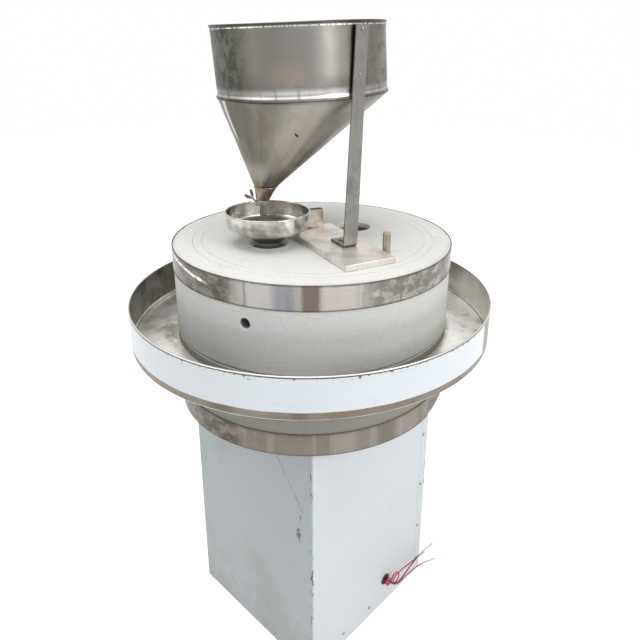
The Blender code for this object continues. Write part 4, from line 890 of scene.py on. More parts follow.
@dataclass(frozen=True)
class Film:
    """White protective film with fine wrinkles and torn flecks near the rim.
    """

    name: str
    base: Colour
    top: float

    def make(self) -> Material:
        """Return the film."""
        graph = Graph(self.name)
        soft = graph.noise((5.0, 5.0, 20.0), 3.0, 0.5)
        torn = Cloud((75.0, 75.0, 140.0), 0.60, 0.66, 5.0, 0.7)
        colour = graph.lay(
            self.base,
            Coat((0.72, 0.78, 0.80), 0.3, soft.rise(0.4, 0.7)),
            Coat((0.50, 0.52, 0.50), 0.25, Cloud((30.0, 30.0, 60.0), 0.62, 0.72, 5.0, 0.7,
                (0.0, 2.0, 2.0))),
            Coat((0.13, 0.12, 0.10), 0.85, torn, Level(self.top - 0.012, self.top - 0.002)))
        return graph.finish(Base_Color=colour, Roughness=0.30 + soft * 0.15, Coat_Weight=0.25,
            Coat_Roughness=0.15, Normal=graph.bump(soft, 0.0015, 0.5))


@dataclass(frozen=True)
class Cast:
    """Cast or painted machine finish for the drive inside the base.
    """

    name: str
    base: Colour
    deep: Colour
    metal: float = 0.0
    rough: float = 0.6
    grain: float = 0.0004

    def make(self) -> Material:
        """Return the finish."""
        graph = Graph(self.name)
        pits = graph.noise((260.0,) * 3, 3.0, 0.6)
        cloud = graph.noise((22.0,) * 3, 5.0, 0.6)
        colour = graph.lay(
            self.base,
            Coat(self.deep, 0.8, cloud.rise(0.38, 0.68)),
            Coat(self.deep, 0.3, pits.rise(0.55, 0.75)))
        return graph.finish(Base_Color=colour, Metallic=self.metal,
            Roughness=cloud * 0.16 + (self.rough - 0.08), Normal=graph.bump(pits, self.grain, 0.7))


@dataclass(frozen=True)
class Insulation:
    """Plastic sleeve of a motor lead, with a bared and tinned end.

    Args:
        bare_from: place along Y from which the wire is bare.
    """

    name: str
    base: Colour
    bare_from: float

    def make(self) -> Material:
        """Return the sleeve."""
        graph = Graph(self.name)
        scuff = graph.noise((300.0, 90.0, 300.0), 4.0, 0.6)
        strands = graph.noise((1500.0, 120.0, 1500.0), 2.0, 0.5)
        bare = graph.y.rise(self.bare_from - 0.0008, self.bare_from + 0.0008)
        pale = tuple(min(1.0, value * 1.5 + 0.05) for value in self.base)
        wire = graph.mix(strands.rise(0.4, 0.6), (0.30, 0.27, 0.24), (0.55, 0.50, 0.44))
        colour = graph.mix(bare, graph.lay(self.base, Coat(pale, 0.5, scuff.rise(0.45, 0.7))), wire)
        return graph.finish(Base_Color=colour, Metallic=bare * 0.9, Roughness=0.42 + scuff * 0.15,
            Normal=graph.bump(strands * bare + scuff * 0.2, 0.0003, 0.8))


class Shop:
    """Mesh tools that the sub-assemblies share."""

    SHARP_DEG = 32.0
    BEVEL_DEG = 35.0
    MERGE = 0.00001
    UP = Vector((0.0, 0.0, 1.0))

    @staticmethod
    def _add(name: str, mesh: BMesh, place: Matrix | None) -> Object:
        """Turn a bmesh, which is used up, into an object of the scene."""
        data = bpy.data.meshes.new(name)
        mesh.to_mesh(data)
        mesh.free()
        made = bpy.data.objects.new(name, data)
        bpy.context.scene.collection.objects.link(made)
        made.matrix_world = place or Matrix.Identity(4)
        return made

    @staticmethod
    def _shade(data: bpy.types.Mesh, finish: Material) -> None:
        """Give a mesh its finish and smooth shading with hard edges."""
        data.materials.clear()
        data.materials.append(finish)
        data.shade_smooth()
        data.set_sharp_from_angle(angle=math.radians(Shop.SHARP_DEG))

    @staticmethod
    def piece(name: str, mesh: BMesh, finish: Material, body: Body, place: Matrix | None = None) -> Object:
        """Turn a bmesh into a shaded object that rides on a body.

        Args:
            name: the piece's name.
            mesh: its mesh, which is used up.
            finish: its material.
            body: the body it rides on.
            place: its place in the frame.

        Returns:
            The new object.
        """
        bmesh.ops.recalc_face_normals(mesh, faces=mesh.faces)
        if mesh.calc_volume(signed=True) < 0:
            bmesh.ops.reverse_faces(mesh, faces=mesh.faces)
        made = Shop._add(name, mesh, place)
        Shop._shade(made.data, finish)
        bpy.context.view_layer.update()
        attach(made, body.value)
        return made

    @staticmethod
    def own(piece: Object, node: str, slot: str) -> None:
        """Let a piece stand for its frame node, which is hidden."""
        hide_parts(node)

    @staticmethod
    def combine(target: Object, mesh: BMesh, how: Cut, place: Matrix | None = None) -> None:
        """Cut or join the target with another mesh, which is used up."""
        bmesh.ops.recalc_face_normals(mesh, faces=mesh.faces)
        other = Shop._add("guide", mesh, place)
        step = target.modifiers.new("combine", "BOOLEAN")
        step.operation = how.value
        step.solver = "EXACT"
        step.object = other
        bpy.context.view_layer.update()
        evaluated = target.evaluated_get(bpy.context.evaluated_depsgraph_get())
        data = bpy.data.meshes.new_from_object(evaluated)
        finish = target.data.materials[0]
        target.modifiers.clear()
        target.data = data
        Shop._shade(data, finish)
        bpy.data.objects.remove(other)

    @staticmethod
    def soften(target: Object, width: float, segments: int = 2) -> None:
        """Round the edges of a piece a little."""
        bevel = target.modifiers.new("edges", "BEVEL")
        bevel.width = width
        bevel.segments = segments
        bevel.limit_method = "ANGLE"
        bevel.angle_limit = math.radians(Shop.BEVEL_DEG)
        bevel.harden_normals = True

    @staticmethod
    def turned(profile: Sequence[Point], steps: int, closed: bool = True) -> BMesh:
        """Spin a profile of radius and height about Z."""
        mesh = bmesh.new()
        points = [mesh.verts.new((radius, 0.0, height)) for radius, height in profile]
        edges = [mesh.edges.new(pair) for pair in zip(points, points[1:])]
        if closed:
            edges.append(mesh.edges.new((points[-1], points[0])))
        bmesh.ops.spin(mesh, geom=points + edges, cent=ORIGIN, axis=Shop.UP, angle=math.tau, steps=steps,
            use_merge=False, use_duplicate=False)
        bmesh.ops.remove_doubles(mesh, verts=mesh.verts, dist=Shop.MERGE)
        return mesh

    @staticmethod
    def strap(profile: Sequence[Point], from_deg: float, to_deg: float, steps: int) -> BMesh:
        """Spin a closed profile through less than a full turn, with flat ends."""
        mesh = bmesh.new()
        face = mesh.faces.new([mesh.verts.new((radius, 0.0, height)) for radius, height in profile])
        bmesh.ops.spin(mesh, geom=[face], cent=ORIGIN, axis=Shop.UP, angle=math.radians(to_deg - from_deg),
            steps=steps, use_merge=False, use_duplicate=False)
        bmesh.ops.contextual_create(mesh, geom=[edge for edge in mesh.edges if edge.is_boundary])
        Shop.turn_mesh(mesh, from_deg)
        return mesh

    @staticmethod
    def turn_mesh(mesh: BMesh, degrees: float) -> None:
        """Turn a mesh about Z."""
        bmesh.ops.rotate(mesh, verts=mesh.verts, cent=ORIGIN,
            matrix=Matrix.Rotation(math.radians(degrees), 3, "Z"))

    @staticmethod
    def skin(rings: Sequence[Sequence[Spot | Vector]], loop: bool = True) -> BMesh:
        """Skin closed rings in order, then join the last ring to the first, or cap both."""
        mesh = bmesh.new()
        loops = [[mesh.verts.new(point) for point in ring] for ring in rings]
        for lower, upper in zip(loops, loops[1:] + (loops[:1] if loop else [])):
            for index in range(len(lower)):
                mesh.faces.new((lower[index - 1], lower[index], upper[index], upper[index - 1]))
        if not loop:
            mesh.faces.new(loops[0])
            mesh.faces.new(loops[-1][::-1])
        return mesh

    @staticmethod
    def raised(outline: Sequence[Spot], lift: Spot) -> BMesh:
        """Raise a flat outline by a lift."""
        mesh = bmesh.new()
        face = mesh.faces.new([mesh.verts.new(point) for point in outline])
        made = bmesh.ops.extrude_face_region(mesh, geom=[face])["geom"]
        bmesh.ops.translate(mesh, vec=lift, verts=[item for item in made if isinstance(item, BMVert)])
        return mesh

    @staticmethod
    def box(size: Spot, place: Matrix) -> BMesh:
        """Box of a size about a place."""
        mesh = bmesh.new()
        bmesh.ops.create_cube(mesh, size=1.0, matrix=place @ Matrix.Diagonal((*size, 1.0)))
        return mesh

    @staticmethod
    def bead(route: Sequence[Vector], radius: Callable[[float], float], sides: int) -> BMesh:
        """Bead of varying radius along a closed level route."""
        rings = []
        for index, point in enumerate(route):
            along = (route[(index + 1) % len(route)] - route[index - 1]).normalized()
            side = along.cross(Shop.UP).normalized()
            over = side.cross(along)
            size = radius(index / len(route))
            rings.append([point + size * (side * math.cos(turn) + over * math.sin(turn))
                for turn in (math.tau * step / sides for step in range(sides))])
        return Shop.skin(rings)

    @staticmethod
    def arc(centre: Point, radius: float, from_deg: float, to_deg: float, steps: int) -> list[Point]:
        """Points of an arc, both ends included."""
        turns = [math.radians(from_deg + (to_deg - from_deg) * index / steps) for index in range(steps + 1)]
        return [(centre[0] + radius * math.cos(turn), centre[1] + radius * math.sin(turn))
            for turn in turns]

    @staticmethod
    def ring(centre: Spot, radius: float, steps: int, lean_deg: float = 0.0) -> list[Vector]:
        """Circle of points whose axis leans from +Z towards -Y."""
        lean = Matrix.Rotation(math.radians(lean_deg), 3, "X")
        turns = [math.tau * index / steps for index in range(steps)]
        return [Vector(centre) + lean @ Vector((radius * math.cos(a), radius * math.sin(a), 0))
            for a in turns]

    @staticmethod
    def at(*spot: float) -> Matrix:
        """Place at a spot."""
        return Matrix.Translation(spot)

    @staticmethod
    def spun(degrees: float, axis: str = "Z") -> Matrix:
        """Turn about an axis."""
        return Matrix.Rotation(math.radians(degrees), 4, axis)

    @staticmethod
    def dress(finish: Material, *nodes: str) -> None:
        """Give frame nodes that stay in view a finish."""
        for name in nodes:
            data = bpy.data.objects[name].data
            data.materials.clear()
            data.materials.append(finish)


@dataclass
class Palette:
    """Finishes of the mill, each made once."""

    made: dict[str, Material] = field(default_factory=dict)

    def build(self) -> None:
        """Make every finish."""
        finishes: list[Any] = [
            DrumSteel("drum_steel", (0.185, 0.176, 0.155), (0.10, 0.095, 0.08), (0.20, 0.18, 0.155),
                (5.0, 5.0, 260.0), blotch=16.0, stain_share=0.35, rough=0.34, brush_share=0.12),
            ConeSteel("cone_steel", (0.215, 0.203, 0.172), (0.12, 0.108, 0.088), (0.235, 0.21, 0.178),
                (95.0, 95.0, 5.0), blotch=9.0, stain_share=0.25, rough=0.36, scratch=0.00005,
                brush_share=0.10),
            Steel("spout_steel", (0.36, 0.33, 0.28), (0.13, 0.10, 0.075), (0.34, 0.25, 0.17),
                (190.0, 190.0, 30.0), blotch=60.0, rough=0.36),
            Steel("bowl_steel", (0.78, 0.765, 0.735), (0.15, 0.142, 0.125), (0.54, 0.515, 0.47),
                (30.0, 30.0, 160.0), blotch=24.0, stain_share=0.75, rough=0.20, brush_share=0.30),
            BandSteel("runner_band_steel", (0.31, 0.30, 0.28), (0.16, 0.148, 0.13), (0.33, 0.31, 0.285),
                (3.0, 3.0, 200.0), blotch=12.0, stain_share=0.35, rough=0.28, scratch=0.00003,
                brush_share=0.12, low=0.900, high=0.950, lap_deg=-68.0, highlight_deg=-35.0, smear_share=1.0),
            BandSteel("bed_band_steel", (0.172, 0.154, 0.125), (0.10, 0.088, 0.07), (0.18, 0.155, 0.125),
                (3.0, 3.0, 200.0), blotch=10.0, stain_share=0.45, rough=0.34, scratch=0.00003,
                brush_share=0.15, low=0.600, high=0.648, lap_deg=40.0, highlight_deg=-5.0, zone_share=0.25),
            TraySteel("tray_steel", (0.20, 0.178, 0.148), (0.085, 0.073, 0.057), (0.19, 0.155, 0.115),
                (7.0, 7.0, 160.0), blotch=12.0, stain_share=0.6, rough=0.34, brush_share=0.2),
            Steel("bar_steel", (0.78, 0.75, 0.72), (0.44, 0.41, 0.375), (0.74, 0.69, 0.63),
                (18.0, 240.0, 60.0), blotch=22.0, stain_share=0.6, rough=0.44, brush_share=0.25),
            Steel("post_steel", (0.24, 0.235, 0.225), (0.12, 0.115, 0.105), (0.25, 0.235, 0.215),
                (90.0, 90.0, 10.0), blotch=26.0, stain_share=0.6, rough=0.42, brush_share=0.25),
            Steel("bracket_steel", (0.40, 0.385, 0.35), (0.13, 0.12, 0.10), (0.36, 0.31, 0.25),
                (90.0, 90.0, 40.0), blotch=60.0, stain_share=0.6, rough=0.34),
            Steel("pin_steel", (0.40, 0.385, 0.35), (0.16, 0.145, 0.12), (0.38, 0.33, 0.26),
                (30.0, 30.0, 300.0), blotch=70.0, stain_share=0.6, rough=0.38),
            Steel("screw_steel", (0.36, 0.35, 0.32), (0.13, 0.12, 0.10), (0.34, 0.30, 0.25),
                (150.0, 150.0, 150.0), blotch=160.0, stain_share=0.6, rough=0.42),
            Steel("bright_steel", (0.60, 0.59, 0.57), (0.32, 0.31, 0.29), (0.58, 0.56, 0.52),
                (15.0, 15.0, 500.0), blotch=40.0, stain_share=0.3, rough=0.26),
            Granite("runner_granite", (0.80, 0.80, 0.775), (0.74, 0.75, 0.73), (0.66, 0.67, 0.65),
                top=0.950, step=0.850),
            # The bed stone's side tones are much darker than its face: painted shade under the tray.
            Granite("bed_granite", (0.62, 0.62, 0.58), (0.27, 0.265, 0.235), (0.21, 0.205, 0.18), top=0.768,
                step=0.640),
            PanelPaint("panel_paint", (0.67, 0.715, 0.745), half=0.200, top=0.592),
            Film("tray_film_white", (0.75, 0.80, 0.84), top=0.8235),
            Cast("frame_paint", (0.17, 0.18, 0.19), (0.08, 0.08, 0.08)),
            Cast("plate_steel", (0.30, 0.28, 0.25), (0.13, 0.11, 0.09), metal=0.7, rough=0.5),
            Cast("cast_grey", (0.30, 0.33, 0.35), (0.17, 0.18, 0.19)),
            Cast("motor_blue", (0.10, 0.19, 0.30), (0.05, 0.09, 0.15), rough=0.5),
            Cast("bronze", (0.58, 0.40, 0.18), (0.30, 0.18, 0.08), metal=1.0, rough=0.38, grain=0.0001),
            Cast("black_rubber", (0.030, 0.030, 0.030), (0.012, 0.012, 0.012), rough=0.75, grain=0.0002),
            Cast("fan_plastic", (0.05, 0.05, 0.055), (0.02, 0.02, 0.02), rough=0.5, grain=0.0001),
            Insulation("red_sleeve", (0.62, 0.02, 0.07), bare_from=0.1500),
            Insulation("long_red_sleeve", (0.58, 0.03, 0.08), bare_from=0.1630),
            Insulation("dark_sleeve", (0.11, 0.035, 0.035), bare_from=0.1516)]
        for finish in finishes:
            self.made[finish.name] = finish.make()

    def __getitem__(self, name: str) -> Material:
        """Return the finish of that name."""
        return self.made[name]


@dataclass
class ScrewHead:
    """Pan-head screw with a cross recess, modelled about its own seat.

    Args:
        slot_reach: length of the recess over the head's radius.
        slot_turn: turn of the recess in radians.
        hollow_share: share of the seat that is let in.
    """

    radius: float = 0.0038
    height: float = 0.0022
    slot: float = 0.0011
    slot_reach: float = 1.15
    slot_turn: float = 0.5
    hollow_share: float = 0.45

    def build(self, name: str, finish: Material, body: Body, place: Matrix) -> Object:
        """Make one head at a place whose +Z points out of the panel."""
        dome = Shop.arc((0.0, 0.0), 1.0, 0, 90, 8)
        profile = [(0.0, -SEAT_GAP), (self.radius * self.hollow_share, -SEAT_GAP), (self.radius, 0.0)]
        profile += [(self.radius * run, self.height * rise) for run, rise in dome]
        head = Shop.piece(name, Shop.turned(profile, 32, closed=False), finish, body, place)
        size = (self.radius * self.slot_reach, self.slot, self.height)
        for turn in (self.slot_turn, self.slot_turn + QUARTER):
            spot = Shop.at(0, 0, self.height) @ Matrix.Rotation(turn, 4, "Z")
            Shop.combine(head, Shop.box(size, spot), Cut.AWAY, place)
        return head


@dataclass
class Base:
    """Square base: panels with their screws, frame and top plate.

    Args:
        half: half the side of the base.
        cover_y: place of the rear cover's screws along Y.
        wrap_places: places of those screws along Y.
    """

    half: float = 0.200
    cover_y: float = 0.181
    cover_heights: tuple[float, ...] = (0.044, 0.153, 0.286, 0.436)
    wrap_height: float = 0.029
    wrap_places: tuple[float, ...] = (-0.098, -0.007)

    def build(self, palette: Palette) -> None:
        """Dress the panels and add the screw heads."""
        Shop.dress(palette["panel_paint"], "base_wrap", "rear_cover")
        Shop.dress(palette["frame_paint"], "base_frame", "reducer_plate")
        Shop.dress(palette["plate_steel"], "top_plate")
        spots = [(side, self.cover_y, height) for side in (1, -1) for height in self.cover_heights]
        self._heads("cover_screw", spots, palette)
        self._heads("wrap_screw", [(1, place, self.wrap_height) for place in self.wrap_places], palette)

    def _heads(self, name: str, spots: Sequence[Spot], palette: Palette) -> None:
        """Add one row of screw heads."""
        for index, (side, y, z) in enumerate(spots, start=1):
            place = Shop.at(side * (self.half + SEAT_GAP), y, z) @ Matrix.Rotation(side * QUARTER, 4, "Y")
            head = ScrewHead().build(f"{name}_head_{index}", palette["screw_steel"], Body.BASE, place)
            Shop.own(head, f"{name}_{index}", "zinc_screw")


@dataclass
class Leads:
    """Three motor leads and the grommet that they leave by.

    Args:
        spread: distance of a lead from the grommet's middle.
        exit_deg: place of the knotted lead round the grommet.
        knot_degs: first turn, end and step of the route's points on them.
        loop_steps: points of the route on it, 12 to a turn.
        spacing: distance between points of the finished curves.
        tail: last points of the knotted lead.
    """

    radius: float = 0.0016
    exit_y: float = 0.0524
    exit_z: float = 0.0736
    face_x: float = 0.200
    spread: float = 0.0036
    exit_deg: float = 210.0
    knot_radius: float = 0.0090
    knot_pitch: float = 0.0045
    knot_degs: tuple[int, int, int] = (240, 721, 30)
    loop_radius: float = 0.0130
    loop_pitch: float = 0.0052
    loop_steps: int = 15
    spacing: float = 0.0040
    grommet: tuple[Point, ...] = ((0.0058, -0.0032), (0.0136, -0.0032), (0.0140, -0.0028),
        (0.0140, -0.0015), (0.0102, -0.0015), (0.0102, 0.0003), (0.0140, 0.0003), (0.0140, 0.0012),
        (0.0132, 0.0020), (0.0066, 0.0020), (0.0058, 0.0012))
    upper: tuple[Spot, ...] = ((0.1970, 0.0524, 0.0772), (0.2060, 0.0524, 0.0772), (0.2140, 0.0524, 0.0772),
        (0.2220, 0.0526, 0.0776), (0.2290, 0.0555, 0.0790), (0.2335, 0.0625, 0.0810),
        (0.2350, 0.0720, 0.0835), (0.2345, 0.0900, 0.0875), (0.2325, 0.1200, 0.0930),
        (0.2310, 0.1516, 0.0958), (0.2300, 0.1800, 0.0935), (0.2300, 0.2143, 0.0881))
    lower: tuple[Spot, ...] = ((0.1970, 0.0555, 0.0718), (0.2060, 0.0555, 0.0718), (0.2140, 0.0555, 0.0718),
        (0.2210, 0.0557, 0.0718), (0.2270, 0.0585, 0.0715), (0.2305, 0.0645, 0.0712),
        (0.2320, 0.0745, 0.0715), (0.2330, 0.0870, 0.0735), (0.2345, 0.1050, 0.0750),
        (0.2360, 0.1300, 0.0735), (0.2375, 0.1630, 0.0660), (0.2390, 0.1900, 0.0540),
        (0.2400, 0.2154, 0.0420))
    tail: tuple[Spot, ...] = ((0.2210, 0.0900, 0.0868), (0.2220, 0.1150, 0.0850), (0.2230, 0.1450, 0.0810),
        (0.2236, 0.1700, 0.0775), (0.2240, 0.1892, 0.0739))

    def build(self, palette: Palette) -> None:
        """Make the grommet and the leads."""
        place = Shop.at(self.face_x, self.exit_y, self.exit_z) @ Shop.spun(90, "Y")
        ring = Shop.piece("panel_grommet", Shop.turned(self.grommet, 48), palette["black_rubber"],
            Body.BASE, place)
        Shop.own(ring, "lead_grommet", "black_rubber")
        self._lead("upper_lead", self.upper, palette["dark_sleeve"], "dark_insulation")
        self._lead("knotted_lead", self._knot(), palette["red_sleeve"], "red_insulation")
        self._lead("lower_lead", self.lower, palette["long_red_sleeve"], "red_insulation")

    def _round(self, x: float, middle: float, radius: float, degrees: float) -> Spot:
        """Point of a turn in the plane of the panel."""
        turn = math.radians(degrees)
        return x, middle + radius * math.cos(turn), self.exit_z + radius * math.sin(turn)

    def _knot(self) -> list[Spot]:
        """Route of the lead that winds round the others and makes one loop."""
        route = [self._round(self.face_x + side * self.spread, self.exit_y, self.spread, self.exit_deg)
            for side in (-1, 1)]
        start = self.face_x + self.spread + self.knot_pitch
        for degrees in range(*self.knot_degs):
            x = start + self.knot_pitch * (degrees - self.exit_deg) / 360
            route.append(self._round(x, self.exit_y, self.knot_radius, degrees))
        start = route[-1][0]
        middle = self.exit_y + self.knot_radius + self.loop_radius
        for step in range(1, self.loop_steps + 1):
            route.append(self._round(start + self.loop_pitch * step / 12, middle, self.loop_radius,
                180 - step * 30))
        return [*route, *self.tail]

    def _smooth(self, points: Sequence[Spot]) -> list[Vector]:
        """Return points on one smooth curve through the given ones."""
        knots = [Vector(point) for point in points]
        padded = [2 * knots[0] - knots[1]] + knots + [2 * knots[-1] - knots[-2]]
        result: list[Vector] = []
        for index in range(1, len(padded) - 2):
            before, here, after, beyond = padded[index - 1:index + 3]
            count = max(1, round((after - here).length / self.spacing))
            for step in range(count):
                t = step / count
                result.append(0.5 * (2 * here + (after - before) * t
                    + (2 * before - 5 * here + 4 * after - beyond) * t ** 2
                    + (3 * here - before - 3 * after + beyond) * t ** 3))
        return result + [knots[-1]]

    def _lead(self, name: str, route: Sequence[Spot], finish: Material, slot: str) -> None:
        points = self._smooth(route)
        curve = bpy.data.curves.new(f"{name}_wire", "CURVE")
        curve.dimensions = "3D"
        curve.bevel_depth = self.radius
        curve.bevel_resolution = 5
        curve.use_fill_caps = True
        spline = curve.splines.new("POLY")
        spline.points.add(len(points) - 1)
        for corner, point in zip(spline.points, points):
            corner.co = (*point, 1.0)
        spline.use_smooth = True
        curve.materials.append(finish)
        wire = bpy.data.objects.new(f"{name}_wire", curve)
        bpy.context.scene.collection.objects.link(wire)
        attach(wire, Body.BASE.value)
        Shop.own(wire, name, slot)
        length = sum((b - a).length for a, b in zip(points, points[1:]))
        tuple(points[0])
        2 * self.radius
        LOG.info("%s is %.3f m long", name, length)


@dataclass
class Stones:
    """Bed stone, runner stone, their steel bands, the bush and the drive pin.

    Args:
        band_edge: rounding of the strap's edges, across and along; hoop_edge is the runner band's.
        bed_gap_degs: azimuths between which the strap runs.
        edge_gap: depth below the side that the dressing leaves alone.
        bed_rough: depth and scale of the dressing on the bed stone's edges.
        eye_rim: width and depth of the flare at their top, and the cutter's overshoot.
        hole: its section, outwards from the depth.
        pin_spot: place of the pin in the bar's axes.
    """

    radius: float = 0.2985
    band: float = 0.300
    sheet: float = 0.0012
    band_edge: Point = (0.0002, 0.0003)
    hoop_edge: Point = (0.0003, 0.0004)
    bed_band: float = 0.048
    bed_gap_degs: Point = (25.0, 369.0)
    runner_band: float = 0.050
    bed_foot: float = 0.6003
    bed_top: float = 0.768
    runner_foot: float = 0.770
    runner_top: float = 0.950
    bed_bore: float = 0.046
    runner_bore: float = 0.0275
    edge: float = 0.003
    edge_gap: float = 0.0004
    bed_rough: Point = (0.0015, 30.0)
    runner_rough: Point = (0.0016, 26.0)
    eye_radius: float = 0.038
    eye_distance: float = 0.112
    eye_turns: tuple[float, float] = (-102.0, 83.0)
    eye_rim: Spot = (0.0025, 0.0015, 0.001)
    eye_start: float = 0.01
    hole_deg: float = -68.5
    hole_height: float = 0.866
    hole: tuple[Point, ...] = ((0.0, -0.06), (0.0095, -0.058), (0.0100, -0.004), (0.0122, 0.002),
        (0.0, 0.002))
    bar_deg: float = -16.93
    pin_spot: Spot = (0.175, 0.073, 0.0)
    socket: tuple[Point, ...] = ((0.0, 0.908), (0.0084, 0.908), (0.0084, 0.949), (0.0100, 0.952),
        (0.0, 0.952))
    pin_foot: float = 0.910
    pin_radius: float = 0.008
    pin_rise: float = 0.043
    pin_edge: float = 0.0018

    def build(self, palette: Palette) -> None:
        """Make the stones and what is fixed on them."""
        stone = self._stone("fixed_stone", self.bed_bore, (self.bed_foot, self.bed_top), self.bed_rough,
            palette["bed_granite"], Body.BASE)
        Shop.own(stone, "bed_stone", "granite")
        section = self._band(self.bed_foot, self.bed_foot + self.bed_band, self.band_edge)
        strap = Shop.piece("bed_strap", Shop.strap(section, *self.bed_gap_degs, 240),
            palette["bed_band_steel"], Body.BASE)
        Shop.own(strap, "bed_band", "band_steel")
        self._runner(palette)
        Shop.dress(palette["bronze"], "runner_bush")

    def _band(self, foot: float, top: float, edge: Point) -> list[Point]:
        """Section of a band with eased outer edges."""
        inner = self.band - self.sheet
        across, along = edge
        return [(inner, foot), (self.band - across, foot), (self.band, foot + along),
            (self.band, top - along), (self.band - across, top), (inner, top)]

    def _stone(self, name: str, bore: float, ends: Point, dressing: Point, finish: Material,
            body: Body) -> Object:
        """Make a stone with rounded outer edges, moved a little as hand dressing does."""
        foot, top = ends
        depth, scale = dressing
        rim = self.radius - self.edge
        low = Shop.arc((rim, foot + self.edge), self.edge, -90, 0, 4)
        high = Shop.arc((rim, top - self.edge), self.edge, 0, 90, 4)
        mesh = Shop.turned([(bore, foot), *low, *high, (bore, top)], 256)
        for corner in mesh.verts:
            reach = math.hypot(corner.co.x, corner.co.y)
            if rim - self.edge < reach < self.radius - self.edge_gap:
                value = noise.noise(corner.co * scale)
                corner.co.z -= math.copysign(depth * max(0.0, value), corner.co.z - (foot + top) / 2)
        return Shop.piece(name, mesh, finish, body)

    def _runner(self, palette: Palette) -> None:
        """Make the runner with its eyes, lifting hole, band and pin."""
        stone = self._stone("turning_stone", self.runner_bore, (self.runner_foot, self.runner_top),
            self.runner_rough, palette["runner_granite"], Body.RUNNER)
        flare, flare_depth, above = self.eye_rim
        start = self.runner_foot - self.eye_start
        eye = [(0.0, start), (self.eye_radius, start), (self.eye_radius, self.runner_top - flare_depth),
            (self.eye_radius + flare, self.runner_top + above), (0.0, self.runner_top + above)]
        for degrees in self.eye_turns:
            turn = math.radians(degrees)
            spot = Shop.at(self.eye_distance * math.cos(turn), self.eye_distance * math.sin(turn), 0)
            Shop.combine(stone, Shop.turned(eye, 64, closed=False), Cut.AWAY, spot)
        place = Shop.spun(self.hole_deg) @ Shop.at(self.radius, 0, self.hole_height) @ Shop.spun(90, "Y")
        Shop.combine(stone, Shop.turned(self.hole, 32, closed=False), Cut.AWAY, place)
        pin_place = Shop.spun(self.bar_deg) @ Shop.at(*self.pin_spot)
        Shop.combine(stone, Shop.turned(self.socket, 32, closed=False), Cut.AWAY, pin_place)
        Shop.own(stone, "runner_stone", "granite")
        section = self._band(self.runner_top - self.runner_band, self.runner_top, self.hoop_edge)
        band = Shop.piece("runner_hoop", Shop.turned(section, 256), palette["runner_band_steel"],
            Body.RUNNER)
        Shop.own(band, "runner_band", "band_steel")
        top = self.runner_top + self.pin_rise
        tip = Shop.arc((self.pin_radius - self.pin_edge, top - self.pin_edge), self.pin_edge, 0, 90, 5)
        pin = [(0.0, self.pin_foot), (self.pin_radius, self.pin_foot), *tip, (0.0, top)]
        peg = Shop.piece("driving_pin", Shop.turned(pin, 40, closed=False), palette["pin_steel"],
            Body.RUNNER, pin_place)
        Shop.own(peg, "drive_pin", "band_steel")


@dataclass
class Tray:
    """Collecting tray, the film left on its wall and the discharge chute.

    Args:
        collar: radius of the collar at the stone.
        film_gap: distance of the film from the wall, and its thickness.
        nick: scale, threshold and depth of the nicks in the film's upper edge.
        lift: scale and height of the waves of the film's lower edge.
        chute_y: place of the chute's mouth.
    """

    radius: float = 0.3932
    sheet: float = 0.0015
    rim: float = 0.828
    collar: float = 0.2988
    collar_depth: float = 0.015
    floor_inner: float = 0.750
    floor_outer: float = 0.7445
    hem: float = 0.0016
    hem_drop: float = 0.005
    fold: float = 0.004
    fold_rise: float = 0.0025
    film_gap: float = 0.0003
    film_bottom: float = 0.7595
    film_top: float = 0.8235
    film_from_deg: float = -225.0
    film_to_deg: float = 16.0
    film_steps: int = 720
    nick: Spot = (60.0, 0.25, 0.012)
    lift: Point = (9.0, 0.0006)
    chute_y: float = 0.3438
    chute: Spot = (0.0606, 0.0566, 0.06)

    def build(self, palette: Palette) -> None:
        """Make the tray and the film."""
        inside = self.radius - self.sheet
        foot = self.floor_inner - self.collar_depth
        below_hem = self.rim - self.hem_drop
        hem = Shop.arc((self.radius - self.hem / 2, self.rim - self.hem), self.hem, -60, 210, 10)
        outer = Shop.arc((self.radius - self.fold, self.floor_outer + self.fold_rise), self.fold, -90, 0, 4)
        inner = Shop.arc((inside - self.fold, self.floor_outer + self.fold), self.fold, 0, -90, 4)
        profile = [(self.collar, foot), (self.collar + self.sheet, foot),
            (self.collar + self.sheet, self.floor_inner - self.sheet), *outer, (self.radius, below_hem),
            *hem, (inside, below_hem), *inner, (self.collar, self.floor_inner)]
        tray = Shop.piece("round_tray", Shop.turned(profile, 288), palette["tray_steel"], Body.BASE)
        Shop.combine(tray, Shop.box(self.chute, Shop.at(0, self.chute_y, self.floor_outer)), Cut.AWAY)
        Shop.own(tray, "collecting_tray", "tray_steel")
        film = Shop.piece("wall_film", self._film(), palette["tray_film_white"], Body.BASE)
        Shop.own(film, "tray_film", "white_film")
        Shop.dress(palette["tray_steel"], "discharge_chute")

    def _film(self) -> BMesh:
        """Return the strip of film with its nicked upper edge."""
        low = self.radius + self.film_gap
        high = low + self.film_gap
        nick_scale, threshold, nick_depth = self.nick
        lift_scale, lift_height = self.lift
        rows = []
        for index in range(self.film_steps + 1):
            share = index / self.film_steps
            turn = math.radians(self.film_from_deg + (self.film_to_deg - self.film_from_deg) * share)
            spot = Vector((math.cos(turn), math.sin(turn), 0.0))
            top = self.film_top - max(0.0, noise.noise(spot * nick_scale) - threshold) * nick_depth
            foot = self.film_bottom + noise.noise(spot * lift_scale) * lift_height
            rows.append([(*(spot * radius).to_2d(), height) for radius,
                height in ((low, foot), (high, foot), (high, top), (low, top))])
        return Shop.skin(rows, loop=False)


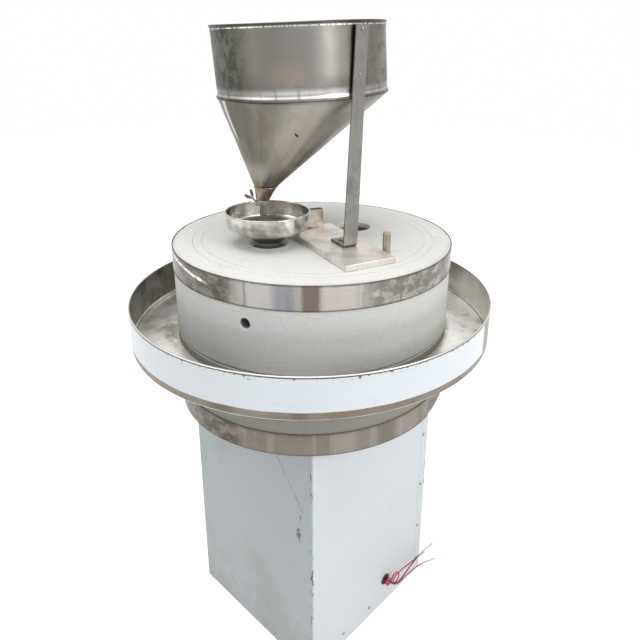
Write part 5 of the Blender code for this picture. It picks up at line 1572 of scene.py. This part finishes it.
@dataclass
class Head:
    """Driver bar, post, hopper, spout, bowl and bracket, in the bar's own axes.

    The post stands on the bar, leans sideways and twists between two heights.  The drum leans with its
    rim, and the cone slants from it to the spout over the bowl.

    Args:
        drum_wave: height, count and phase of the waves of the drum's rim.
        swage: depth, start and length of the pressed groove above the drum's foot.
        seam: how far the bead at the drum's foot stands out, and its radius.
        cone_dents: depth and scale of each kind of dent.
        weld: middle radius of the weld, its swing and the swing's pace.
        tube_radii: bore, end and outside of the feed tube.
        bowl_turn: middle and radius of the turn between the bowl's slope and its wall.
        lump_wave: share and scale of the weld lumps' unevenness.
    """

    turn_deg: float = -16.93
    bar_foot: float = 0.9503
    bar_top: float = 0.9623
    bar_from: float = -0.030
    bar_to: float = 0.236
    bar_half: float = 0.055
    bar_edge: float = 0.0011
    bolt_reach: float = 0.105
    bolt_depth: float = 0.008
    bolt_radius: float = 0.0040
    bolt_head: Point = (0.0055, 0.0031)
    bolt_round: float = 0.0012
    post_face: float = 0.143
    post_side: float = -0.008
    post_width: float = 0.031
    post_sheet: float = 0.004
    post_edge: float = 0.0006
    post_top: float = 1.382
    post_lean_deg: float = 2.3
    post_twist_deg: float = 13.5
    post_twist_from: float = 0.030
    post_twist_to: float = 0.280
    post_rows: int = 24
    post_foot: float = 0.055
    post_bend: float = 0.006
    post_screws: tuple[float, float] = (0.0077, 0.0874)
    lean_deg: float = 4.25
    drum_radius: float = 0.1745
    drum_y: float = -0.018
    drum_rim: float = 1.387
    drum_height: float = 0.1366
    drum_roll: float = 0.0022
    drum_wall: Point = (0.05, -0.02)
    drum_wave: Spot = (0.0006, 3.0, 1.0)
    drum_wave_depth: float = 0.03
    swage: Spot = (0.0009, 0.005, 0.014)
    swage_steps: int = 8
    seam: Point = (0.0006, 0.0018)
    sheet: float = 0.0012
    cone_steps: int = 224
    cone_rows: int = 36
    cone_lip: float = 0.0024
    cone_lip_fold: float = 0.0045
    cone_drop: float = 0.0026
    cone_dents: tuple[Point, ...] = ((0.0010, 14.0), (0.0004, 40.0))
    cone_foot: Spot = (0.0026, -0.1129, 1.069)
    cone_foot_radius: float = 0.0229
    weld_gap: float = 0.0002
    weld: Spot = (0.0010, 0.0004, 210.0)
    spout: Point = (0.0041, -0.1205)
    neck_height: float = 1.0425
    neck_radius: float = 0.0135
    collar_radius: float = 0.0138
    collar_bore: float = 0.0070
    collar_height: float = 0.0110
    collar_edges: Point = (0.0008, 0.0006)
    tube_foot: float = 1.0100
    tube_radii: Spot = (0.0054, 0.0063, 0.0066)
    tube_rise: float = 0.012
    thumb_deg: float = -120.0
    thumb_drop: float = 0.0055
    thumb_tilt_deg: float = 40.0
    thumb_turn_deg: float = 62.0
    thread_radii: Point = (0.0020, 0.0016)
    thread_from: float = -0.005
    thread_pitch: float = 0.0011
    thread_turns: int = 14
    thumb_start: float = -0.0055
    thumb_head: tuple[Point, ...] = ((0.0020, 0.011), (0.0042, 0.011), (0.0042, 0.0162), (0.0034, 0.017),
        (0.0, 0.017))
    wing: tuple[Point, ...] = ((0.0022, 0.011), (0.0100, 0.0165), (0.0130, 0.0225), (0.0126, 0.0262),
        (0.0098, 0.0270), (0.0066, 0.0238), (0.0020, 0.0168))
    wing_half: float = 0.0013
    wing_edge: float = 0.0003
    bowl_centre: Point = (0.0083, -0.112)
    bowl_rim: Point = (0.0872, 1.0205)
    bowl_roll: float = 0.0019
    bowl_turn: Spot = (0.0750, 0.9905, 0.0078)
    bowl_foot: tuple[Point, ...] = ((0.030, 0.9520), (0.030, 0.9560), (0.0312, 0.9582), (0.0500, 0.9685),
        (0.0730, 0.9808))
    bowl_lip: Point = (0.0841, 1.0167)
    bowl_wall_share: float = 0.6
    bracket_reach: float = 0.0837
    bracket_x: Point = (-0.0125, -0.0300)
    bracket_y: Point = (0.0280, 0.0120)
    bracket_sheet: float = 0.0020
    bracket_height: float = 0.040
    bracket_edge: float = 0.0004
    lump_count: int = 6
    lump_from: float = 0.008
    lump_step: float = 0.0042
    lump_rise: float = 0.0010
    lump_size: Spot = (0.0026, 0.0029, 0.0020)
    lump_wave: Point = (0.18, 2.0)

    @property
    def place(self) -> Matrix:
        """Place of the bar's axes in the frame."""
        return Shop.spun(self.turn_deg)

    @property
    def drum_place(self) -> Matrix:
        """Place of the leaning drum in the bar's axes, with its rim at height zero."""
        x = self.post_face - self.post_sheet - SEAT_GAP - self.drum_radius
        return Shop.at(x, self.drum_y, self.drum_rim) @ Shop.spun(self.lean_deg, "X")

    @property
    def post_middle(self) -> float:
        """Middle of the post's width."""
        return self.post_side + self.post_width / 2

    def build(self, palette: Palette) -> None:
        """Make everything that turns with the bar."""
        for make in (self._bar, self._post, self._drum, self._cone, self._spout, self._thumb, self._bowl,
                self._bracket):
            make(palette)

    def _piece(self, name: str, mesh: BMesh, finish: Material, node: str, slot: str,
            spot: Matrix | None = None) -> Object:
        """Make a piece of the head, given in the bar's axes, that stands for a frame node."""
        made = Shop.piece(name, mesh, finish, Body.HEAD, self.place @ spot if spot else self.place)
        Shop.own(made, node, slot)
        return made

    def _bar(self, palette: Palette) -> None:
        """Make the driver bar and the bolt in its middle."""
        outline = [(self.bar_from, -self.bar_half), (self.bar_to, -self.bar_half),
            (self.bar_to, self.bar_half), (self.bar_from, self.bar_half)]
        mesh = Shop.raised([(x, y, self.bar_foot) for x, y in outline],
            (0, 0, self.bar_top - self.bar_foot))
        bar = self._piece("driving_bar", mesh, palette["bar_steel"], "driver_bar", "bar_steel")
        Shop.soften(bar, self.bar_edge, 3)
        seat = self.bar_top + SEAT_GAP + self.post_sheet
        wide, rise = self.bolt_head
        corner = (wide - self.bolt_round, seat + rise / 2 + SEAT_GAP / 6)
        profile = [(0.0, seat - self.bolt_depth), (self.bolt_radius, seat - self.bolt_depth),
            (self.bolt_radius, seat + SEAT_GAP), (wide, seat + SEAT_GAP),
            *Shop.arc(corner, self.bolt_round, 0, 80, 4), (0.0, seat + rise)]
        self._piece("post_bolt", Shop.turned(profile, 32, closed=False), palette["screw_steel"],
            "foot_bolt", "zinc_screw", Shop.at(self.bolt_reach, self.post_middle, 0))

    def _post(self, palette: Palette) -> None:
        """Make the leaning flat post with its bent foot."""
        foot = self.bar_top + SEAT_GAP
        back = self.post_face - self.post_sheet
        heel = self.post_face - self.post_foot
        bend, tight = self.post_bend, self.post_bend / 3
        outer = [(heel, foot), *Shop.arc((self.post_face - bend, foot + bend), bend, -90, 0, 8)]
        inner = [(heel, foot + self.post_sheet),
            *Shop.arc((back - tight, foot + self.post_sheet + tight), tight, -90, 0, 8)]
        twist = self.post_twist_to - self.post_twist_from
        heights = [self.bar_top + self.post_twist_from + twist * row / self.post_rows
            for row in range(self.post_rows + 1)] + [self.post_top]
        outer += [(self.post_face, height) for height in heights]
        inner += [(back, height) for height in heights]
        near, far = self.post_side, self.post_side + self.post_width
        rings = []
        for (x, z), (deep_x, deep_z) in zip(outer, inner):
            ring = [(x, near, z), (x, far, z), (deep_x, far, deep_z), (deep_x, near, deep_z)]
            rings.append([self._twisted(Vector(point)) for point in ring])
        post = self._piece("hopper_stay", Shop.skin(rings, loop=False), palette["post_steel"],
            "hopper_post", "bar_steel")
        Shop.soften(post, self.post_edge)
        seat = Shop.at(self.post_face + SEAT_GAP, self.post_middle, 0) @ Shop.spun(90, "Y")
        for index, drop in enumerate(self.post_screws, start=1):
            height = self.post_top - drop
            spot = self.place @ Shop.at(0, self._shift(height), height) @ self._twist(height) @ seat
            head = ScrewHead().build(f"hopper_screw_head_{index}", palette["screw_steel"], Body.HEAD, spot)
            Shop.own(head, f"hopper_screw_{index}", "zinc_screw")

    def _twist(self, height: float) -> Matrix:
        """Return the turn of the post about its own upright axis at a height."""
        share = (height - self.bar_top - self.post_twist_from) / (self.post_twist_to - self.post_twist_from)
        axis = Shop.at(self.post_face - self.post_sheet / 2, self.post_middle, 0)
        return axis @ Shop.spun(self.post_twist_deg * min(1.0, max(0.0, share))) @ axis.inverted()

    def _twisted(self, point: Vector) -> Vector:
        """Return where a point of the straight post lies on the twisted and leaning one."""
        turned = self._twist(point.z) @ point
        turned.y += self._shift(point.z)
        return turned

    def _shift(self, height: float) -> float:
        """Return how far the post has leaned at a height."""
        return max(0.0, (height - self.bar_top) * math.tan(math.radians(self.post_lean_deg)))

    def _drum(self, palette: Palette) -> None:
        """Make the drum with its rolled rim, pressed stripe and seam bead."""
        radius, foot = self.drum_radius, -self.drum_height
        inside = radius - self.sheet
        rim = Shop.arc((radius, -self.drum_roll), self.drum_roll, -70, 200, 12)
        depth, start, length = self.swage
        swage = [(radius - depth * math.sin(math.pi * step / self.swage_steps),
            foot + start + length * step / self.swage_steps) for step in range(self.swage_steps + 1)]
        inner = [(x - self.sheet, z) for x, z in reversed(swage)]
        out, bead = self.seam
        low, high = foot + self.drum_wall[0], self.drum_wall[1]
        profile = [(inside, foot), *Shop.arc((radius + out, foot + bead), bead, -90, 90, 6), *swage,
            (radius, low), (radius, high), *rim, (inside, high), (inside, low), *inner]
        mesh = Shop.turned(profile, 256)
        wave, count, phase = self.drum_wave
        for corner in mesh.verts:
            share = corner.co.z / self.drum_wave_depth + 1.0
            if share > 0.0:
                turn = math.atan2(corner.co.y, corner.co.x)
                corner.co.z += wave * math.sin(count * turn + phase) * share
        self._piece("hopper_barrel", mesh, palette["drum_steel"], "hopper_drum", "stainless_sheet",
            self.drum_place)

    def _cone(self, palette: Palette) -> None:
        """Make the slanting cone with small dents, and the weld at its foot."""
        foot = Vector(self.cone_foot)
        top = self.drum_place @ Vector((0, 0, -self.drum_height - SEAT_GAP))
        seam = self.drum_place @ Vector((0, 0, -self.drum_height - self.cone_drop))
        wide = Shop.ring(top, self.drum_radius + self.cone_lip, self.cone_steps, self.lean_deg)
        high = Shop.ring(seam, self.drum_radius, self.cone_steps, self.lean_deg)
        low = Shop.ring(self.cone_foot, self.cone_foot_radius, self.cone_steps)
        outer = []
        for row in range(self.cone_rows + 1):
            share = row / self.cone_rows
            soft = math.sin(math.pi * share)
            middle = seam.lerp(foot, share)
            points = [start.lerp(end, share) for start, end in zip(high, low)]
            outer.append([self._towards(middle, point, self._dent(point) * soft) for point in points])
        inner = [[self._towards(seam.lerp(foot, share), point, 2 * self.sheet) for point in ring] for ring,
            share in ((outer[-1], 1.0), (outer[self.cone_rows // 2], 0.5), (outer[0], 0.0))]
        lip = [self._towards(top, point, self.cone_lip_fold) for point in wide]
        self._piece("hopper_funnel", Shop.skin([wide, *outer, *inner, lip]), palette["cone_steel"],
            "hopper_cone", "stainless_sheet")
        route = Shop.ring((foot.x, foot.y, foot.z - self.weld_gap), self.cone_foot_radius + self.weld_gap,
            90)
        middle, wave, pace = self.weld
        weld = Shop.bead(route, lambda share: middle + wave * math.sin(share * pace), 8)
        Shop.piece("funnel_weld", weld, palette["spout_steel"], Body.HEAD, self.place)

    @staticmethod
    def _towards(middle: Vector, point: Vector, step: float) -> Vector:
        """Return a point moved by a step towards a middle."""
        return point + (middle - point).normalized() * step

    def _dent(self, point: Vector) -> float:
        """Return how far a point of the cone is pressed in."""
        return sum(depth * noise.noise(point * scale) for depth, scale in self.cone_dents)

    def _spout(self, palette: Palette) -> None:
        """Make the oblique spout, its collar and the feed tube."""
        start = (*self.cone_foot[:2], self.cone_foot[2] - SEAT_GAP)
        neck = (*self.spout, self.neck_height)
        ends = ((start, self.cone_foot_radius), (neck, self.neck_radius),
            (neck, self.neck_radius - self.sheet), (start, self.cone_foot_radius - self.sheet))
        rings = [Shop.ring(centre, radius, 64) for centre, radius in ends]
        self._piece("spout_funnel", Shop.skin(rings), palette["spout_steel"], "hopper_spout",
            "stainless_sheet")
        tip = self.neck_height - SEAT_GAP
        low = tip - self.collar_height
        bore, wide = self.collar_bore, self.collar_radius
        below, above = self.collar_edges
        collar = [(bore, low), (wide - below, low), (wide, low + below), (wide, tip - above),
            (wide - above, tip), (bore, tip)]
        spot = Shop.at(*self.spout, 0)
        self._piece("pipe_collar", Shop.turned(collar, 64), palette["bracket_steel"], "spout_collar",
            "stainless_sheet", spot)
        top = self.neck_height + self.tube_rise
        inner, eased, outer = self.tube_radii
        tube = [(inner, self.tube_foot), (eased, self.tube_foot), (outer, self.tube_foot + outer - eased),
            (outer, top), (inner, top)]
        pipe = Shop.piece("sliding_tube", Shop.turned(tube, 48), palette["pin_steel"], Body.TUBE,
            self.place @ spot)
        Shop.own(pipe, "feed_tube", "bright_steel")

    def _thumb(self, palette: Palette) -> None:
        """Make the winged screw that locks the feed tube."""
        turn = math.radians(self.thumb_deg)
        spot = Shop.at(self.spout[0] + self.collar_radius * math.cos(turn),
            self.spout[1] + self.collar_radius * math.sin(turn), self.neck_height - self.thumb_drop)
        place = self.place @ spot @ Shop.spun(self.thumb_deg) @ Shop.spun(self.thumb_tilt_deg, "Y")
        crest, root = self.thread_radii
        profile = [(0.0, self.thumb_start)]
        for index in range(self.thread_turns):
            height = self.thread_from + index * self.thread_pitch
            profile += [(crest, height), (root, height + self.thread_pitch / 2)]
        screw = Shop.piece("winged_screw", Shop.turned([*profile, *self.thumb_head], 28, closed=False),
            palette["screw_steel"], Body.THUMB, place)
        for side in (-1, 1):
            mesh = Shop.raised([(side * x, -self.wing_half, z) for x, z in self.wing],
                (0, 2 * self.wing_half, 0))
            Shop.turn_mesh(mesh, self.thumb_turn_deg)
            Shop.combine(screw, mesh, Cut.TOGETHER, place)
        Shop.soften(screw, self.wing_edge)
        Shop.own(screw, "thumb_screw", "zinc_screw")

    def _bowl(self, palette: Palette) -> None:
        """Make the feed bowl with its rolled rim."""
        roll = self.bowl_roll
        bead = (self.bowl_rim[0] - roll, self.bowl_rim[1] - roll)
        turn = Shop.arc(self.bowl_turn[:2], self.bowl_turn[2], -55, -5, 5)
        outer = [*self.bowl_foot, *turn, self.bowl_lip]
        rise = self.sheet * self.bowl_wall_share
        inner = [(radius - self.sheet, height + rise) for radius, height in reversed(outer[1:])]
        foot = (outer[0][0] - self.sheet, outer[0][1])
        profile = [*outer, *Shop.arc(bead, roll, -50, 190, 10), *inner[1:], foot]
        self._piece("feeding_bowl", Shop.turned(profile, 160), palette["bowl_steel"], "feed_bowl",
            "bowl_sheet", Shop.at(*self.bowl_centre, 0))

    def _bracket(self, palette: Palette) -> None:
        """Make the folded bracket between bar and bowl, with weld lumps at its foot."""
        front_x, back_x = self.bracket_x
        side_y, step_y = self.bracket_y
        sheet = self.bracket_sheet
        bowl_x, bowl_y = self.bowl_centre
        front, back = (bowl_y + math.sqrt(self.bracket_reach ** 2 - (x - bowl_x) ** 2)
            for x in (front_x, back_x + sheet))
        outline = [(front_x, front), (front_x, side_y - sheet), (front_x - sheet, side_y),
            (back_x + sheet, side_y), (back_x, step_y), (back_x, back), (back_x + sheet, back),
            (back_x + sheet, step_y), (back_x + 2 * sheet, side_y - sheet),
            (front_x - sheet, side_y - sheet), (front_x - sheet, front)]
        foot = self.bar_top + SEAT_GAP
        mesh = Shop.raised([(x, y, foot) for x, y in outline], (0, 0, self.bracket_height))
        bracket = self._piece("bowl_hanger", mesh, palette["bracket_steel"], "bowl_bracket", "bar_steel")
        Shop.soften(bracket, self.bracket_edge)
        wave, scale = self.lump_wave
        for index in range(self.lump_count):
            mesh = bmesh.new()
            bmesh.ops.create_icosphere(mesh, subdivisions=3, radius=1.0)
            for corner in mesh.verts:
                corner.co *= 1.0 + wave * noise.noise(corner.co * scale + Vector((index, 0, 0)))
            spot = Shop.at(front_x + self.lump_rise, front + self.lump_from + index * self.lump_step,
                foot + self.lump_rise)
            Shop.piece(f"bracket_weld_{index + 1}", mesh, palette["spout_steel"], Body.HEAD,
                self.place @ spot @ Matrix.Diagonal((*self.lump_size, 1.0)))


class Drive:
    """Motor, reducer, shafts and bearings inside the base."""

    def build(self, palette: Palette) -> None:
        """Dress the drive's frame nodes."""
        Shop.dress(palette["cast_grey"], "gear_reducer", "bearing_housing", "shaft_coupling")
        Shop.dress(palette["motor_blue"], "motor_body", "fan_cover", "terminal_box")
        Shop.dress(palette["bright_steel"], "main_shaft", "output_shaft", "upper_bearing", "lower_bearing")
        Shop.dress(palette["black_rubber"], "shaft_seal")
        Shop.dress(palette["fan_plastic"], "motor_fan")
        bolts = [f"{kind}_bolt_{index}" for kind in ("housing", "reducer") for index in (1, 2, 3)]
        Shop.dress(palette["screw_steel"], *bolts)


@dataclass(frozen=True)
class Lamp:
    """Square area light that faces a point.
    """

    name: str
    spot: Spot
    target: Spot
    size: float
    power: float

    def build(self) -> None:
        """Place the light."""
        data = bpy.data.lights.new(self.name, "AREA")
        data.size = self.size
        data.energy = self.power
        made = bpy.data.objects.new(self.name, data)
        bpy.context.scene.collection.objects.link(made)
        made.location = self.spot
        made.rotation_euler = (Vector(self.target) - Vector(self.spot)).to_track_quat("-Z", "Y").to_euler()


@dataclass
class Studio:
    """Camera of the photograph, plain lights, floor and pale surroundings.

    Args:
        ahead: viewing direction.
        lens: focal length in millimetres on a sensor of the given width.
        shift: sensor shift across and up.
        lamps: a broad light on the +X side, one overhead and a weak fill.
        world_strength: light of the world on surfaces.
        floor_glow: light that the floor adds where the camera sees it.
    """

    eye: Spot = (0.8954, -0.8552, 1.3318)
    right: Spot = (0.7541, 0.6561, 0.0302)
    up: Spot = (-0.2276, 0.2179, 0.9491)
    ahead: Spot = (-0.6161, 0.7225, -0.3137)
    lens: float = 32.915
    sensor: float = 36.0
    shift: Point = (-0.0811, -0.1138)
    clip_start: float = 0.05
    lamps: tuple[Lamp, ...] = (Lamp("key", (3.4, 0.2, 2.2), (0.0, 0.0, 0.7), 2.0, 58.0),
        Lamp("overhead", (0.1, -0.5, 4.0), (0.0, 0.0, 0.8), 2.4, 62.0),
        Lamp("fill", (-1.2, -3.2, 1.6), (0.0, 0.0, 0.7), 2.0, 22.0))
    world_strength: float = 0.44
    floor_half: float = 9.0
    floor_drop: float = -0.0005
    floor_tone: Colour = (0.82, 0.82, 0.82)
    floor_rough: float = 0.9
    floor_glow: float = 0.72

    def build(self) -> None:
        """Set up the camera, the lights and the surroundings."""
        self._camera()
        for lamp in self.lamps:
            lamp.build()
        self._world()
        self._floor()

    def _camera(self) -> None:
        """Place the camera."""
        data = bpy.data.cameras.new("photo_camera")
        data.lens = self.lens
        data.sensor_width = self.sensor
        data.shift_x, data.shift_y = self.shift
        data.clip_start = self.clip_start
        made = bpy.data.objects.new("photo_camera", data)
        bpy.context.scene.collection.objects.link(made)
        columns = (Vector(self.right), Vector(self.up), -Vector(self.ahead))
        made.matrix_world = Matrix.Translation(self.eye) @ Matrix(columns).transposed().to_4x4()
        bpy.context.scene.camera = made

    def _world(self) -> None:
        """Make the pale world."""
        scene = bpy.context.scene
        scene.view_settings.view_transform = "Standard"
        scene.world = bpy.data.worlds.new("pale_room")
        scene.world.use_nodes = True
        tree = scene.world.node_tree
        back = tree.nodes["Background"]
        back.inputs["Color"].default_value = (1.0, 1.0, 1.0, 1.0)
        tree.links.new(self._seen(tree, self.world_strength, 1.0), back.inputs["Strength"])

    def _floor(self) -> None:
        """Make the floor, which keeps the mill's shadow."""
        mesh = bmesh.new()
        bmesh.ops.create_grid(mesh, x_segments=2, y_segments=2, size=self.floor_half)
        data = bpy.data.meshes.new("floor")
        mesh.to_mesh(data)
        mesh.free()
        floor = bpy.data.objects.new("floor", data)
        bpy.context.scene.collection.objects.link(floor)
        floor.location = (0.0, 0.0, self.floor_drop)
        finish = bpy.data.materials.new("pale_floor")
        finish.use_nodes = True
        tree = finish.node_tree
        shader = tree.nodes["Principled BSDF"]
        shader.inputs["Base Color"].default_value = (*self.floor_tone, 1.0)
        shader.inputs["Roughness"].default_value = self.floor_rough
        shader.inputs["Emission Color"].default_value = (1.0, 1.0, 1.0, 1.0)
        tree.links.new(self._seen(tree, 0.0, self.floor_glow), shader.inputs["Emission Strength"])
        data.materials.append(finish)

    @staticmethod
    def _seen(tree: bpy.types.NodeTree, hidden: float, shown: float) -> bpy.types.NodeSocket:
        """Return a strength that differs for rays from the camera, gloss and glass."""
        path = tree.nodes.new("ShaderNodeLightPath")
        seen = path.outputs["Is Camera Ray"]
        for name in ("Is Glossy Ray", "Is Transmission Ray"):
            larger = tree.nodes.new("ShaderNodeMath")
            larger.operation = "MAXIMUM"
            tree.links.new(seen, larger.inputs[0])
            tree.links.new(path.outputs[name], larger.inputs[1])
            seen = larger.outputs[0]
        scale = tree.nodes.new("ShaderNodeMapRange")
        tree.links.new(seen, scale.inputs["Value"])
        scale.inputs["To Min"].default_value = hidden
        scale.inputs["To Max"].default_value = shown
        return scale.outputs["Result"]


def main() -> None:
    """Build the dressed mill in order."""
    logging.basicConfig(level=logging.INFO, format="%(name)s: %(message)s")
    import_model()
    Studio().build()
    palette = Palette()
    palette.build()
    for part in (Leads(), Base(), Stones(), Tray(), Head(), Drive()):
        part.build(palette)
        LOG.info("%s done", type(part).__name__)


if __name__ == "__main__":
    main()
